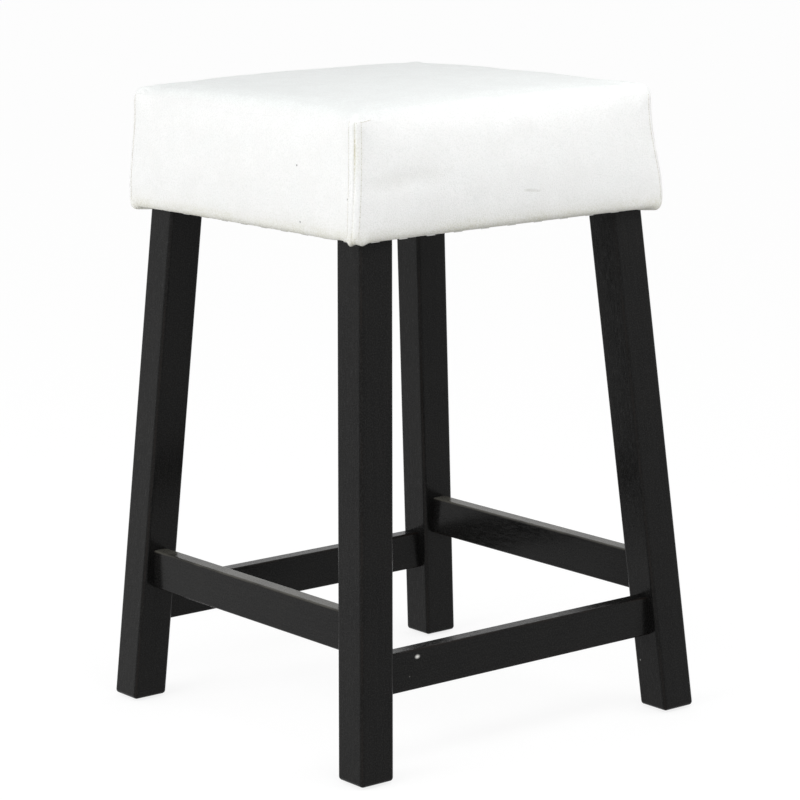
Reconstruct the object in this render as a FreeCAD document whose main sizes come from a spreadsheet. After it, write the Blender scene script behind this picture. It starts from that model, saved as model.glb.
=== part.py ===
import FreeCAD, Part
import os

import Sketcher
from FreeCAD import Placement, Rotation, Vector

# A backless stool: a square upholstered seat on four splayed legs joined by four stretchers.
# Millimetres, +Z up, +X to the right, -Y to the front. The origin is on the floor under the seat's centre.

DRIVING_SIZES = {
    # The whole stool
    "overall_height": 660.0,
    "seat_corner_height": 654.6,
    "seat_bottom": 530.0,
    "seat_width_bottom": 392.0,
    "seat_width_top": 384.0,
    "seat_plan_radius": 10.5,
    "seat_edge_radius": 10.0,
    "seat_hem_radius": 4.0,
    # Legs, from the glide's top to the seat board's underside
    "leg_side": 40.0,
    "leg_spread_floor": 399.0,
    "leg_spread_seat": 321.2,
    "leg_edge_radius": 4.0,
    "leg_foot_radius": 3.8,
    # Stretchers and their blind mortise and tenon joints
    "low_stretcher_top": 124.0,
    "high_stretcher_top": 165.3,
    "stretcher_depth": 41.0,
    "stretcher_thickness": 17.0,
    "stretcher_edge_radius": 2.0,
    "tenon_length": 20.0,
    "tenon_thickness": 9.0,
    "tenon_shoulder": 5.0,
    "mortise_glue_gap": 1.0,
    # Plywood seat frame and board
    "frame_top": 600.0,
    "rail_thickness": 11.0,
    "frame_corner_radius": 5.0,
    "board_thickness": 12.0,
    "block_bottom": 546.0,
    "block_depth": 34.0,
    "block_reach": 99.0,
    # Soft layers
    "cover_thickness": 1.2,
    "soft_gap": 0.3,
    "dust_cover_thickness": 0.6,
    "dust_cover_width": 369.0,
    "dust_cover_leg_gap": 1.5,
    # Hanger bolts, washers and nuts
    "bolt_radius": 4.0,
    "bolt_grip_in_leg": 40.0,
    "bolt_clearance": 0.2,
    "washer_radius": 10.0,
    "washer_thickness": 1.6,
    "nut_flats": 13.0,
    "nut_height": 6.5,
    "bolt_end_past_nut": 3.0,
    # Screws and nails
    "screw_radius": 2.0,
    "screw_head_radius": 4.0,
    "screw_head_height": 2.5,
    "screw_point": 4.0,
    "screw_clearance": 0.15,
    "block_screw_length": 45.0,
    "block_screw_from_rail": 23.0,
    "block_screw_rise": 9.0,
    "block_screw_spacing": 16.0,
    "board_screw_length": 30.0,
    "board_screw_offset": 100.0,
    "rail_nail_radius": 0.8,
    "rail_nail_length": 30.0,
    "rail_nail_head_radius": 1.3,
    "rail_nail_head_height": 0.8,
    "rail_nail_sunk": 0.5,
    # Staples
    "staple_width": 10.0,
    "staple_wire_width": 1.2,
    "staple_wire_thickness": 0.7,
    "staple_leg": 8.0,
    "hem_staple_reach": 189.0,
    "hem_staple_spacing": 34.0,
    "dust_staple_reach": 182.2,
    "dust_staple_spacing": 40.0,
    # Foot glides, each with a nail pressed into its upper side
    "glide_height": 2.5,
    "glide_radius": 10.0,
    "glide_round": 0.8,
    "glide_nail_head_radius": 4.5,
    "glide_nail_head_height": 1.2,
    "glide_nail_radius": 1.1,
    "glide_nail_length": 14.0,
    # How far the solids that cut away material run past the faces that they open
    "cutter_over_run": 1.0,
    "hole_end_gap": 0.5,
    "crown_cutter_reach": 294.0,
    "crown_cutter_rise": 20.0,
    "form_over_run": 5.0,
}

RAIL_NAIL_HEIGHTS = (545.0, 565.0, 585.0)
PAN_HEAD_FLAT_SHARE = 0.7
PAN_HEAD_RIM_SHARE = 0.5
HEM_STAPLES_EACH_WAY = 5
DUST_STAPLES_EACH_WAY = 3

# Turning the front left corner by these angles about +Z gives the other corners.
CORNER_TURNS = {"front_left": 0, "front_right": 90, "back_right": 180, "back_left": 270}
# Turning the front side by these angles about +Z gives the other sides.
SIDE_TURNS = {"front": 0, "right": 90, "back": 180, "left": 270}

DOC = FreeCAD.newDocument("CounterStool")
UP = Vector(0, 0, 1)
ORIGIN = -1
START, END, CENTRE = 1, 2, 3


def write_sizes():
    sheet = DOC.addObject("Spreadsheet::Sheet", "Sizes")
    for row, (alias, size) in enumerate(DRIVING_SIZES.items(), start=1):
        sheet.set(f"A{row}", alias)
        sheet.set(f"B{row}", str(size))
        sheet.setAlias(f"B{row}", alias)
    DOC.recompute()
    return sheet


SHEET = write_sizes()

# Derived sizes, as expressions of the sheet's cells. Heights are measured from the floor.
SLOPE = "((Sizes.leg_spread_floor - Sizes.leg_spread_seat) / 2 / (Sizes.seat_bottom - Sizes.glide_height))"
FLARE = (
    "((Sizes.seat_width_bottom - Sizes.seat_width_top) / 2"
    " / (Sizes.seat_corner_height - Sizes.seat_bottom))"
)
CROWN_RADIUS = "((Sizes.seat_width_top / 2) ^ 2 / (Sizes.overall_height - Sizes.seat_corner_height))"
FRAME_BOTTOM = "(Sizes.seat_bottom + Sizes.cover_thickness)"
BOARD_TOP = "(Sizes.frame_top + Sizes.board_thickness)"
PADDING_INSET = "(Sizes.cover_thickness + Sizes.soft_gap)"
BOLT_HEIGHT = "(Sizes.block_bottom + Sizes.block_depth / 2)"
BOLT_HOLE = "(Sizes.bolt_radius + Sizes.bolt_clearance)"
BLOCK_THICKNESS = f"((Sizes.block_reach - 2 * Sizes.leg_side) / sqrt(2 + 4 * {SLOPE} ^ 2))"


def number(expression):
    """The value that an expression of the sheet's cells has now."""
    return float(SHEET.evalExpression(expression))


def leg_centre(height):
    """How far a leg's axis stands from the stool's centre planes at a height."""
    return f"(Sizes.leg_spread_floor / 2 - {SLOPE} * ({height} - Sizes.glide_height))"


def leg_inner(height):
    return f"({leg_centre(height)} - Sizes.leg_side / 2)"


def rail_inner(height):
    """The rails' inner faces lie against the legs' outer faces."""
    return f"({leg_centre(height)} + Sizes.leg_side / 2)"


def rail_outer(height):
    return f"({rail_inner(height)} + Sizes.rail_thickness)"


def seat_half_width(height, inset):
    """Half the seat's width at a height, less an inset from its outer skin."""
    return f"(Sizes.seat_width_bottom / 2 - {FLARE} * ({height} - Sizes.seat_bottom) - {inset})"


def new_body(name):
    return DOC.addObject("PartDesign::Body", name)


def origin_plane(body, role):
    return next(part for part in body.Origin.OriginFeatures if part.Role == role)


def new_sketch(body, name, plane, offset="0"):
    """An empty sketch on one of the body's origin planes, moved along the plane's normal."""
    sketch = body.newObject("Sketcher::SketchObject", name)
    sketch.AttachmentSupport = [(origin_plane(body, plane), "")]
    sketch.MapMode = "FlatFace"
    sketch.setExpression("AttachmentOffset.Base.z", offset)
    return sketch


def drive(sketch, kind, *terms):
    """Adds a dimension whose value is the last term, an expression."""
    *places, expression = terms
    index = sketch.addConstraint(Sketcher.Constraint(kind, *places, number(expression)))
    sketch.setExpression(f"Constraints[{index}]", expression)


def pin_point(sketch, geometry, end, across, up):
    """Holds a point at two expressions, its distances from the sketch's origin."""
    drive(sketch, "DistanceX", ORIGIN, START, geometry, end, across)
    drive(sketch, "DistanceY", ORIGIN, START, geometry, end, up)


def add_outline(sketch, corners):
    """A closed outline of straight sides, its corners given as pairs of expressions."""
    points = [Vector(number(across), number(up), 0) for across, up in corners]
    first = sketch.GeometryCount
    count = len(points)
    for start, end in zip(points, points[1:] + points[:1]):
        sketch.addGeometry(Part.LineSegment(start, end), False)
    for place, (across, up) in enumerate(corners):
        following = first + (place + 1) % count
        sketch.addConstraint(Sketcher.Constraint("Coincident", first + place, END, following, START))
        pin_point(sketch, first + place, START, across, up)


def add_circle(sketch, radius):
    """A circle about the sketch's origin."""
    circle = sketch.addGeometry(Part.Circle(Vector(), UP, number(radius)), False)
    sketch.addConstraint(Sketcher.Constraint("Coincident", circle, CENTRE, ORIGIN, START))
    drive(sketch, "Radius", circle, radius)


def add_square(sketch, half):
    add_outline(sketch, [(f"-{half}", f"-{half}"), (half, f"-{half}"), (half, half), (f"-{half}", half)])


def pad(body, sketch, length):
    """Thickens a sketch along its normal."""
    feature = body.newObject("PartDesign::Pad", sketch.Name + "Pad")
    feature.Profile = sketch
    feature.setExpression("Length", length)
    DOC.recompute()
    return feature


def pad_both_ways(body, sketch, length):
    feature = pad(body, sketch, length)
    feature.SideType = "Symmetric"
    DOC.recompute()
    return feature


def pad_leaning(body, sketch, height):
    """Raises a sketch to a height along the legs' slope, inward in both X and Y."""
    feature = pad(body, sketch, height)
    feature.UseCustomVector = True
    feature.AlongSketchNormal = True
    feature.Direction = Vector(number(SLOPE), number(SLOPE), 1)
    feature.setExpression("Direction.x", SLOPE)
    feature.setExpression("Direction.y", SLOPE)
    DOC.recompute()
    return feature


def tapered_block(body, bottom, top, half_across, inner, outer):
    """A flat-sided block between two heights, its sides given as functions of height.

    It reaches as far along X each way, and from the inner to the outer distance towards -Y.
    """
    block = body.newObject("PartDesign::AdditiveWedge", body.Name + "Block")
    block.setExpression("Ymin", bottom)
    block.setExpression("Ymax", top)
    for level, height in (("", bottom), ("2", top)):
        block.setExpression(f"X{level}min", f"-{half_across(height)}")
        block.setExpression(f"X{level}max", half_across(height))
        block.setExpression(f"Z{level}min", inner(height))
        block.setExpression(f"Z{level}max", outer(height))
    block.Placement = Placement(Vector(), Rotation(Vector(1, 0, 0), 90))
    DOC.recompute()
    return block


def tapered_square(body, bottom, top, half):
    return tapered_block(body, bottom, top, half, lambda height: f"-{half(height)}", half)


def revolve(body, sketch, kind="PartDesign::Revolution", axis="V_Axis", angle="360"):
    """Turns a sketch about one of its axes, by default a full circle about the upright one."""
    feature = body.newObject(kind, sketch.Name + "Turned")
    feature.Profile = sketch
    feature.ReferenceAxis = (sketch, [axis])
    feature.Midplane = True
    feature.setExpression("Angle", angle)
    DOC.recompute()
    return feature


def fillet(body, base, names, radius):
    """Rounds named edges, or a named face's edges, of a feature."""
    feature = body.newObject("PartDesign::Fillet", f"{base.Name}Rounded")
    feature.Base = (base, names)
    feature.setExpression("Radius", radius)
    DOC.recompute()
    return feature


def edge_names(feature, wanted):
    edges = enumerate(feature.Shape.Edges, start=1)
    return [f"Edge{index}" for index, edge in edges if wanted(edge)]


def direction(edge):
    return (edge.Vertexes[-1].Point - edge.Vertexes[0].Point).normalize()


def is_upright(edge):
    return abs(direction(edge).z) > 0.9


def lowest_face(feature):
    faces = enumerate(feature.Shape.Faces, start=1)
    index, _ = min(faces, key=lambda item: item[1].CenterOfMass.z)
    return f"Face{index}"


def crown_face(feature):
    faces = enumerate(feature.Shape.Faces, start=1)
    index, _ = max(faces, key=lambda item: item[1].CenterOfMass.z)
    return f"Face{index}"


def place(item, x, y, z, rotation=None):
    """Places a sub-part at three expressions, turned by a fixed rotation."""
    item.Placement = Placement(Vector(), rotation or Rotation())
    item.setExpression("Placement.Base.x", x)
    item.setExpression("Placement.Base.y", y)
    item.setExpression("Placement.Base.z", z)


def turned_about_up(turn):
    return Rotation(UP, turn)


def turned_place(item, x, y, z, turn):
    """Places a sub-part of the front left corner, or of the front, at another corner or side."""
    turned = {0: (x, y), 90: (f"-{y}", x), 180: (f"-{x}", f"-{y}"), 270: (y, f"-{x}")}[turn]
    place(item, *turned, z, turned_about_up(turn))


def turned_piece(name, profile):
    """A round piece about its own Z axis, from pairs of radius and height."""
    body = new_body(name)
    sketch = new_sketch(body, name + "Profile", "XZ_Plane")
    add_outline(sketch, profile)
    revolve(body, sketch)
    return body


def pin(name, radius, start, end):
    return turned_piece(name, [("0", start), (radius, start), (radius, end), ("0", end)])


def repeated(name, items, turns):
    """Copies items round the stool's axis and groups the copies."""
    copies = []
    for turn in turns:
        for item in items:
            copy = DOC.addObject("App::Link", f"{name}_copy")
            copy.LinkedObject = item
            copy.LinkTransform = True
            copy.Placement = Placement(Vector(), turned_about_up(turn))
            copies.append(copy)
    return grouped(name, copies)


def grouped(name, items):
    group = DOC.addObject("Part::Compound", name)
    group.Links = items
    DOC.recompute()
    return group


def round_the_stool(name, items):
    return repeated(name, items, CORNER_TURNS.values())


def cut(name, base, tool):
    feature = DOC.addObject("Part::Cut", name)
    feature.Base = base
    feature.Tool = tool
    DOC.recompute()
    removed = base.Shape.Volume - feature.Shape.Volume
    if removed <= 0:
        raise RuntimeError(f"{name}: the cut removes nothing")
    return feature


def mortise(body, name, along, stretcher_top):
    """A blind slot in a leg's inner face, opening towards +X or +Y, for one stretcher's tenon."""
    middle = f"(Sizes.{stretcher_top} - Sizes.stretcher_depth / 2 - Sizes.glide_height)"
    lean = f"({SLOPE} * {middle})"
    bottom = f"({lean} + Sizes.leg_side / 2 - Sizes.tenon_length - Sizes.mortise_glue_gap)"
    side = f"({lean} - Sizes.tenon_thickness / 2)"
    height = "(Sizes.stretcher_depth - 2 * Sizes.tenon_shoulder)"
    slot = body.newObject("PartDesign::SubtractiveBox", name)
    sizes = {"x": ("Sizes.leg_side", bottom), "y": ("Sizes.tenon_thickness", side)}
    if along == "y":
        sizes = {"x": sizes["y"], "y": sizes["x"]}
    slot.setExpression("Length", sizes["x"][0])
    slot.setExpression("Width", sizes["y"][0])
    slot.setExpression("Height", height)
    place(slot, sizes["x"][1], sizes["y"][1], f"({middle} - {height} / 2)")
    before = body.Tip.BaseFeature.Shape.Volume
    DOC.recompute()
    if slot.Shape.Volume >= before:
        raise RuntimeError(f"{name}: the mortise removes nothing")


def make_leg(name, turn):
    """A square leg that leans inward, from the foot glide up to the seat board."""
    body = new_body(name + "_blank")
    section = new_sketch(body, "Section", "XY_Plane")
    add_square(section, "(Sizes.leg_side / 2)")
    shaft = pad_leaning(body, section, "Sizes.frame_top - Sizes.glide_height")
    eased = fillet(body, shaft, edge_names(shaft, is_upright), "Sizes.leg_edge_radius")
    fillet(body, eased, [lowest_face(eased)], "Sizes.leg_foot_radius")
    lower, upper = "low_stretcher_top", "high_stretcher_top"
    tops = (lower, upper) if turn in (0, 180) else (upper, lower)
    mortise(body, "MortiseAlongX", "x", tops[0])
    mortise(body, "MortiseAlongY", "y", tops[1])
    foot = "(Sizes.leg_spread_floor / 2)"
    turned_place(body, f"-{foot}", f"-{foot}", "Sizes.glide_height", turn)
    return body


def make_stretcher(name, top, turn):
    """A flat bar whose shoulders follow the legs' lean, with a tenon at each end."""
    low = f"(Sizes.{top} - Sizes.stretcher_depth)"
    middle = f"(Sizes.{top} - Sizes.stretcher_depth / 2)"
    half_low = leg_inner(low)
    half_top = leg_inner(f"Sizes.{top}")
    half_tenon = f"({leg_inner(middle)} + Sizes.tenon_length)"
    shoulder = "Sizes.tenon_shoulder"
    tenon_top = "(Sizes.stretcher_depth - Sizes.tenon_shoulder)"
    depth = "Sizes.stretcher_depth"

    body = new_body(name)
    face = new_sketch(body, "Face", "XZ_Plane")
    add_outline(face, [(f"-{half_low}", "0"), (half_low, "0"), (half_top, depth), (f"-{half_top}", depth)])
    bar = pad_both_ways(body, face, "Sizes.stretcher_thickness")
    long_edges = edge_names(bar, lambda edge: abs(direction(edge).x) > 0.99)
    fillet(body, bar, long_edges, "Sizes.stretcher_edge_radius")
    tenons = new_sketch(body, "Tenons", "XZ_Plane")
    add_outline(
        tenons,
        [
            (f"-{half_tenon}", shoulder),
            (half_tenon, shoulder),
            (half_tenon, tenon_top),
            (f"-{half_tenon}", tenon_top),
        ],
    )
    pad_both_ways(body, tenons, "Sizes.tenon_thickness")
    turned_place(body, "0", f"-{leg_centre(middle)}", low, turn)
    return body


def make_rail(name, half_length, turn):
    """One side of the seat frame: a plywood strip that leans inward with the legs."""
    body = new_body(name + "_blank")
    rail = tapered_block(body, FRAME_BOTTOM, "Sizes.frame_top", half_length, rail_inner, rail_outer)
    if half_length is rail_outer:
        middle = -number(leg_centre(FRAME_BOTTOM)) - number("Sizes.leg_side / 2")
        outer_ends = edge_names(rail, lambda edge: is_upright(edge) and edge.CenterOfMass.y < middle)
        fillet(body, rail, outer_ends, "Sizes.frame_corner_radius")
    turned_place(body, "0", "0", "0", turn)
    return body


def make_corner_block(name, turn):
    """A three-cornered block, notched to hug the leg's inner corner, between two rails."""
    body = new_body(name + "_blank")
    reach, leg = "Sizes.block_reach", "Sizes.leg_side"
    plan = new_sketch(body, "Plan", "XY_Plane")
    add_outline(plan, [(leg, "0"), (reach, "0"), ("0", reach), ("0", leg), (leg, leg)])
    pad_leaning(body, plan, "Sizes.block_depth")
    corner = rail_inner("Sizes.block_bottom")
    turned_place(body, f"-{corner}", f"-{corner}", "Sizes.block_bottom", turn)
    return body


def make_seat_board():
    body = new_body("seat_board_blank")
    plan = new_sketch(body, "Plan", "XY_Plane", "Sizes.frame_top")
    add_square(plan, rail_outer("Sizes.frame_top"))
    board = pad(body, plan, "Sizes.board_thickness")
    fillet(body, board, edge_names(board, is_upright), "Sizes.frame_corner_radius")
    return body


def cut_crown(body, inset):
    """Trims a form's top to a wide dome, highest over the seat's centre.

    The profile is turned a little each way about a level axis through the dome's centre of curvature.
    """
    radius = f"({CROWN_RADIUS} - {inset})"
    centre = f"(Sizes.overall_height - {CROWN_RADIUS})"
    reach = "Sizes.crown_cutter_reach"
    above = "(Sizes.overall_height + Sizes.crown_cutter_rise)"
    rim_height = number(f"{centre} + sqrt({radius} ^ 2 - {reach} ^ 2)")
    half = number(reach)
    circle = Part.Circle(Vector(0, number(centre), 0), UP, number(radius))
    right_rim, left_rim = Vector(half, rim_height, 0), Vector(-half, rim_height, 0)
    right_top, left_top = Vector(half, number(above), 0), Vector(-half, number(above), 0)

    sketch = new_sketch(body, "CrownProfile", "XZ_Plane")
    axis = sketch.addGeometry(Part.LineSegment(Vector(-half, number(centre), 0), circle.Center), True)
    span = circle.parameter(right_rim), circle.parameter(left_rim)
    arc = sketch.addGeometry(Part.ArcOfCircle(circle, *span), False)
    left, lid, right = (
        sketch.addGeometry(Part.LineSegment(first, last), False)
        for first, last in ((left_rim, left_top), (left_top, right_top), (right_top, right_rim))
    )
    for first, last in ((arc, left), (left, lid), (lid, right), (right, arc)):
        sketch.addConstraint(Sketcher.Constraint("Coincident", first, END, last, START))
    pin_point(sketch, axis, START, f"-{reach}", centre)
    pin_point(sketch, axis, END, "0", centre)
    sketch.addConstraint(Sketcher.Constraint("Coincident", arc, CENTRE, axis, END))
    drive(sketch, "Radius", arc, radius)
    pin_point(sketch, lid, START, f"-{reach}", above)
    pin_point(sketch, lid, END, reach, above)
    sketch.addConstraint(Sketcher.Constraint("Vertical", left))
    sketch.addConstraint(Sketcher.Constraint("Vertical", right))
    before = body.Tip.Shape.Volume
    groove = revolve(body, sketch, "PartDesign::Groove", "Axis0", f"2 * asin({reach} / {radius})")
    if groove.Shape.Volume >= before:
        raise RuntimeError(f"{body.Name}: the crown cut removes nothing")
    return groove


def make_seat_form(name, inset, bottom, top=None, hem_radius=None):
    """The seat's flared, round-cornered form inside an inset: crowned, or flat at a given top."""
    body = new_body(name)
    above = "(Sizes.overall_height + Sizes.form_over_run)"
    form = tapered_square(body, bottom, top or above, lambda height: seat_half_width(height, inset))
    if not top:
        form = cut_crown(body, inset)
    corners = edge_names(form, is_upright)
    form = fillet(body, form, corners, f"Sizes.seat_plan_radius - {inset}")
    if not top:
        form = fillet(body, form, [crown_face(form)], f"Sizes.seat_edge_radius - {inset}")
    if hem_radius:
        fillet(body, form, [lowest_face(form)], hem_radius)
    return body


def make_frame_envelope():
    """The outside of the rails and the seat board, which the side padding wraps."""
    body = new_body("frame_envelope")
    tapered_square(body, FRAME_BOTTOM, "Sizes.frame_top", rail_outer)
    form = tapered_square(body, "Sizes.frame_top", BOARD_TOP, lambda height: rail_outer("Sizes.frame_top"))
    fillet(body, form, edge_names(form, is_upright), "Sizes.frame_corner_radius")
    return body


def make_side_padding():
    bottom = f"(Sizes.seat_bottom + {PADDING_INSET})"
    hem = f"Sizes.seat_hem_radius - {PADDING_INSET}"
    band = make_seat_form("side_padding_band", PADDING_INSET, bottom, BOARD_TOP, hem)
    cut("side_padding", band, make_frame_envelope())


def make_foam_pad():
    """A crowned cushion that fills the cover above the seat board."""
    return make_seat_form("foam_pad", PADDING_INSET, BOARD_TOP)


def make_cover_shell():
    """A thin skin over the padding, rolled under the rails, open between them."""
    thickness = "Sizes.cover_thickness"
    outside = make_seat_form("cover_outside", "0", "Sizes.seat_bottom", hem_radius="Sizes.seat_hem_radius")
    inner_hem = f"Sizes.seat_hem_radius - {thickness}"
    inside = make_seat_form("cover_inside", thickness, FRAME_BOTTOM, hem_radius=inner_hem)
    opening = new_body("cover_opening")
    plan = new_sketch(opening, "Plan", "XY_Plane", "Sizes.seat_bottom - Sizes.cutter_over_run")
    add_square(plan, f"({rail_inner('Sizes.seat_bottom')} + Sizes.soft_gap)")
    pad(opening, plan, f"{thickness} + 2 * Sizes.cutter_over_run")
    hollow = DOC.addObject("Part::Fuse", "cover_hollow")
    hollow.Base = inside
    hollow.Tool = opening
    return cut("cover_shell", outside, hollow)


def make_dust_cover_sheet():
    """A thin cloth under the hem, with its corners cut away round the legs."""
    body = new_body("dust_cover_sheet")
    edge = "(Sizes.dust_cover_width / 2)"
    notch = f"({leg_inner('Sizes.seat_bottom')} - Sizes.dust_cover_leg_gap)"
    quarter = [(edge, notch), (notch, notch), (notch, edge)]
    corners = []
    for turn in range(4):
        corners += quarter
        quarter = [(f"-{up}", across) for across, up in quarter]
    plan = new_sketch(body, "Plan", "XY_Plane", "Sizes.seat_bottom - Sizes.dust_cover_thickness")
    add_outline(plan, corners)
    pad(body, plan, "Sizes.dust_cover_thickness")
    return body


def staple(name, x, y, crown_top):
    """A wire staple with its crown along X and its legs driven up."""
    body = new_body(name)
    half, wire = "(Sizes.staple_width / 2)", "Sizes.staple_wire_thickness"
    inner = f"({half} - {wire})"
    outline = [
        (f"-{half}", f"-{wire}"),
        (half, f"-{wire}"),
        (half, "Sizes.staple_leg"),
        (inner, "Sizes.staple_leg"),
        (inner, "0"),
        (f"-{inner}", "0"),
        (f"-{inner}", "Sizes.staple_leg"),
        (f"-{half}", "Sizes.staple_leg"),
    ]
    face = new_sketch(body, "Face", "XZ_Plane")
    add_outline(face, outline)
    pad_both_ways(body, face, "Sizes.staple_wire_width")
    place(body, x, y, crown_top)
    return body


def make_staples(name, each_way, spacing, reach, crown_top):
    """A row of staples under each rail."""
    row = []
    for step in range(-each_way, each_way + 1):
        row.append(staple(f"{name}_one", f"{step} * Sizes.{spacing}", f"-Sizes.{reach}", crown_top))
    return round_the_stool(name, row)


def into_front_left_corner():
    """Turns +Z square to the corner block's long face, which leans with the leg."""
    return Rotation(UP, Vector(-1, -1, 2 * number(SLOPE)))


def leg_bolt_place(item):
    """Puts a bolt part on the leg's inner corner, its +Z driven into the leg."""
    corner = leg_inner(BOLT_HEIGHT)
    place(item, f"-{corner}", f"-{corner}", BOLT_HEIGHT, into_front_left_corner())


def make_bolt_parts():
    """A headless hanger bolt per leg, with its washer and nut on the corner block's face."""
    radius, grip = "Sizes.bolt_radius", "Sizes.bolt_grip_in_leg"
    washer_face = f"({BLOCK_THICKNESS} + Sizes.washer_thickness)"
    nut_face = f"({washer_face} + Sizes.nut_height)"
    bolt = pin("leg_bolt", radius, f"-({nut_face} + Sizes.bolt_end_past_nut)", grip)

    rim = "Sizes.washer_radius"
    washer = turned_piece(
        "leg_washer",
        [
            (BOLT_HOLE, f"-{washer_face}"),
            (rim, f"-{washer_face}"),
            (rim, f"-{BLOCK_THICKNESS}"),
            (BOLT_HOLE, f"-{BLOCK_THICKNESS}"),
        ],
    )

    nut = new_body("leg_nut")
    plan = new_sketch(nut, "Plan", "XY_Plane", f"-{nut_face}")
    reach = "(Sizes.nut_flats / sqrt(3))"
    add_outline(plan, [(f"{reach} * cos({60 * k})", f"{reach} * sin({60 * k})") for k in range(6)])
    add_circle(plan, BOLT_HOLE)
    pad(nut, plan, "Sizes.nut_height")

    for item in (bolt, washer, nut):
        leg_bolt_place(item)
    round_the_stool("leg_bolts", [bolt])
    round_the_stool("leg_washers", [washer])
    round_the_stool("leg_nuts", [nut])


def make_bolt_holes():
    start = f"-({BLOCK_THICKNESS} + Sizes.cutter_over_run)"
    end = "Sizes.bolt_grip_in_leg + Sizes.cutter_over_run"
    drill = pin("leg_bolt_hole", BOLT_HOLE, start, end)
    leg_bolt_place(drill)
    return round_the_stool("leg_bolt_holes", [drill])


def pan_screw(name, length):
    """A round-headed screw driven along its own +Z, its head's flat at the origin."""
    radius, head, height = "Sizes.screw_radius", "Sizes.screw_head_radius", "Sizes.screw_head_height"
    return turned_piece(
        name,
        [
            ("0", f"-{height}"),
            (f"{head} * {PAN_HEAD_FLAT_SHARE}", f"-{height}"),
            (head, f"-{height} * {PAN_HEAD_RIM_SHARE}"),
            (head, "0"),
            (radius, "0"),
            (radius, f"{length} - Sizes.screw_point"),
            ("0", length),
        ],
    )


def flush_screw(name, length, clearance="0"):
    """A countersunk screw driven along its own +Z, or, with a clearance, the hole for it."""
    radius = f"(Sizes.screw_radius + {clearance})"
    head = f"(Sizes.screw_head_radius + {clearance})"
    return turned_piece(
        name,
        [
            ("0", "0"),
            (head, "0"),
            (radius, f"{head} - {radius}"),
            (radius, f"{length} - Sizes.screw_point"),
            ("0", f"{length} + {clearance}"),
        ],
    )


def block_screw_places():
    """Two heights on each half of the block's long face, all driven square to that face."""
    near = "Sizes.block_screw_from_rail"
    far = f"(Sizes.block_reach - {near})"
    for along_x, along_y in ((far, near), (near, far)):
        for step in (0, 1):
            height = f"(Sizes.block_bottom + Sizes.block_screw_rise + {step} * Sizes.block_screw_spacing)"
            base = rail_inner("Sizes.block_bottom")
            lean = f"({SLOPE} * ({height} - Sizes.block_bottom))"
            yield f"({along_x} + {lean} - {base})", f"({along_y} + {lean} - {base})", height


def make_block_screws():
    rotation = into_front_left_corner()
    screws, holes = [], []
    hole_radius = "(Sizes.screw_radius + Sizes.screw_clearance)"
    hole_start, hole_end = "-Sizes.cutter_over_run", "Sizes.block_screw_length + Sizes.hole_end_gap"
    for x, y, z in block_screw_places():
        screw = pan_screw("block_screw", "Sizes.block_screw_length")
        hole = pin("block_screw_hole", hole_radius, hole_start, hole_end)
        place(screw, x, y, z, rotation)
        place(hole, x, y, z, rotation)
        screws.append(screw)
        holes.append(hole)
    round_the_stool("block_screws", screws)
    return round_the_stool("block_screw_holes", holes)


def make_board_screws():
    """Screws from the board's top down into the rails, flush under the foam."""
    down = Rotation(UP, Vector(0, 0, -1))
    y = f"-({rail_inner('Sizes.frame_top')} + Sizes.rail_thickness / 2)"
    screws, holes = [], []
    for sign in ("-", ""):
        screw = flush_screw("board_screw", "Sizes.board_screw_length")
        hole = flush_screw("board_screw_hole", "Sizes.board_screw_length", "Sizes.screw_clearance")
        for item, group in ((screw, screws), (hole, holes)):
            place(item, f"{sign}Sizes.board_screw_offset", y, BOARD_TOP, down)
            group.append(item)
    round_the_stool("board_screws", screws)
    return round_the_stool("board_screw_holes", holes)


def rail_nail(name, clearance="0", top="0"):
    """A small-headed nail driven along its own +Z, or, with a clearance, the open hole for it."""
    head = f"(Sizes.rail_nail_head_radius + {clearance})"
    shank = f"(Sizes.rail_nail_radius + {clearance})"
    return turned_piece(
        name,
        [
            ("0", top),
            (head, top),
            (head, "Sizes.rail_nail_head_height"),
            (shank, "Sizes.rail_nail_head_height"),
            (shank, f"(Sizes.rail_nail_length + {clearance})"),
            ("0", f"(Sizes.rail_nail_length + {clearance})"),
        ],
    )


def make_rail_nails():
    """Nails through the front and back rails into the ends of the side rails."""
    inward = Rotation(UP, Vector(0, 1, 0))
    nails, holes = [], []
    for height in RAIL_NAIL_HEIGHTS:
        x = f"({rail_inner(height)} + Sizes.rail_thickness / 2)"
        y = f"-({rail_outer(height)} - Sizes.rail_nail_sunk)"
        for sign in ("-", ""):
            nail = rail_nail("rail_nail")
            hole = rail_nail("rail_nail_hole", "Sizes.screw_clearance", "-Sizes.cutter_over_run")
            for item, group in ((nail, nails), (hole, holes)):
                place(item, f"{sign}{x}", y, str(height), inward)
                group.append(item)
    ends = (SIDE_TURNS["front"], SIDE_TURNS["back"])
    repeated("rail_nails", nails, ends)
    return repeated("rail_nail_holes", holes, ends)


def glide_place(item, turn):
    foot = "(Sizes.leg_spread_floor / 2)"
    turned_place(item, f"-{foot}", f"-{foot}", "0", turn)


def make_glide(name, turn):
    """A thin round foot, flat below, with a pocket above for its nail's head."""
    rim, top, rounding = "Sizes.glide_radius", "Sizes.glide_height", "Sizes.glide_round"
    pocket = "(Sizes.glide_nail_head_radius + Sizes.screw_clearance)"
    floor = "(Sizes.glide_height - Sizes.glide_nail_head_height)"
    glide = turned_piece(
        name,
        [
            ("0", "0"),
            (f"{rim} - {rounding}", "0"),
            (rim, rounding),
            (rim, top),
            (pocket, top),
            (pocket, floor),
            ("0", floor),
        ],
    )
    glide_place(glide, turn)
    return glide


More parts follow.
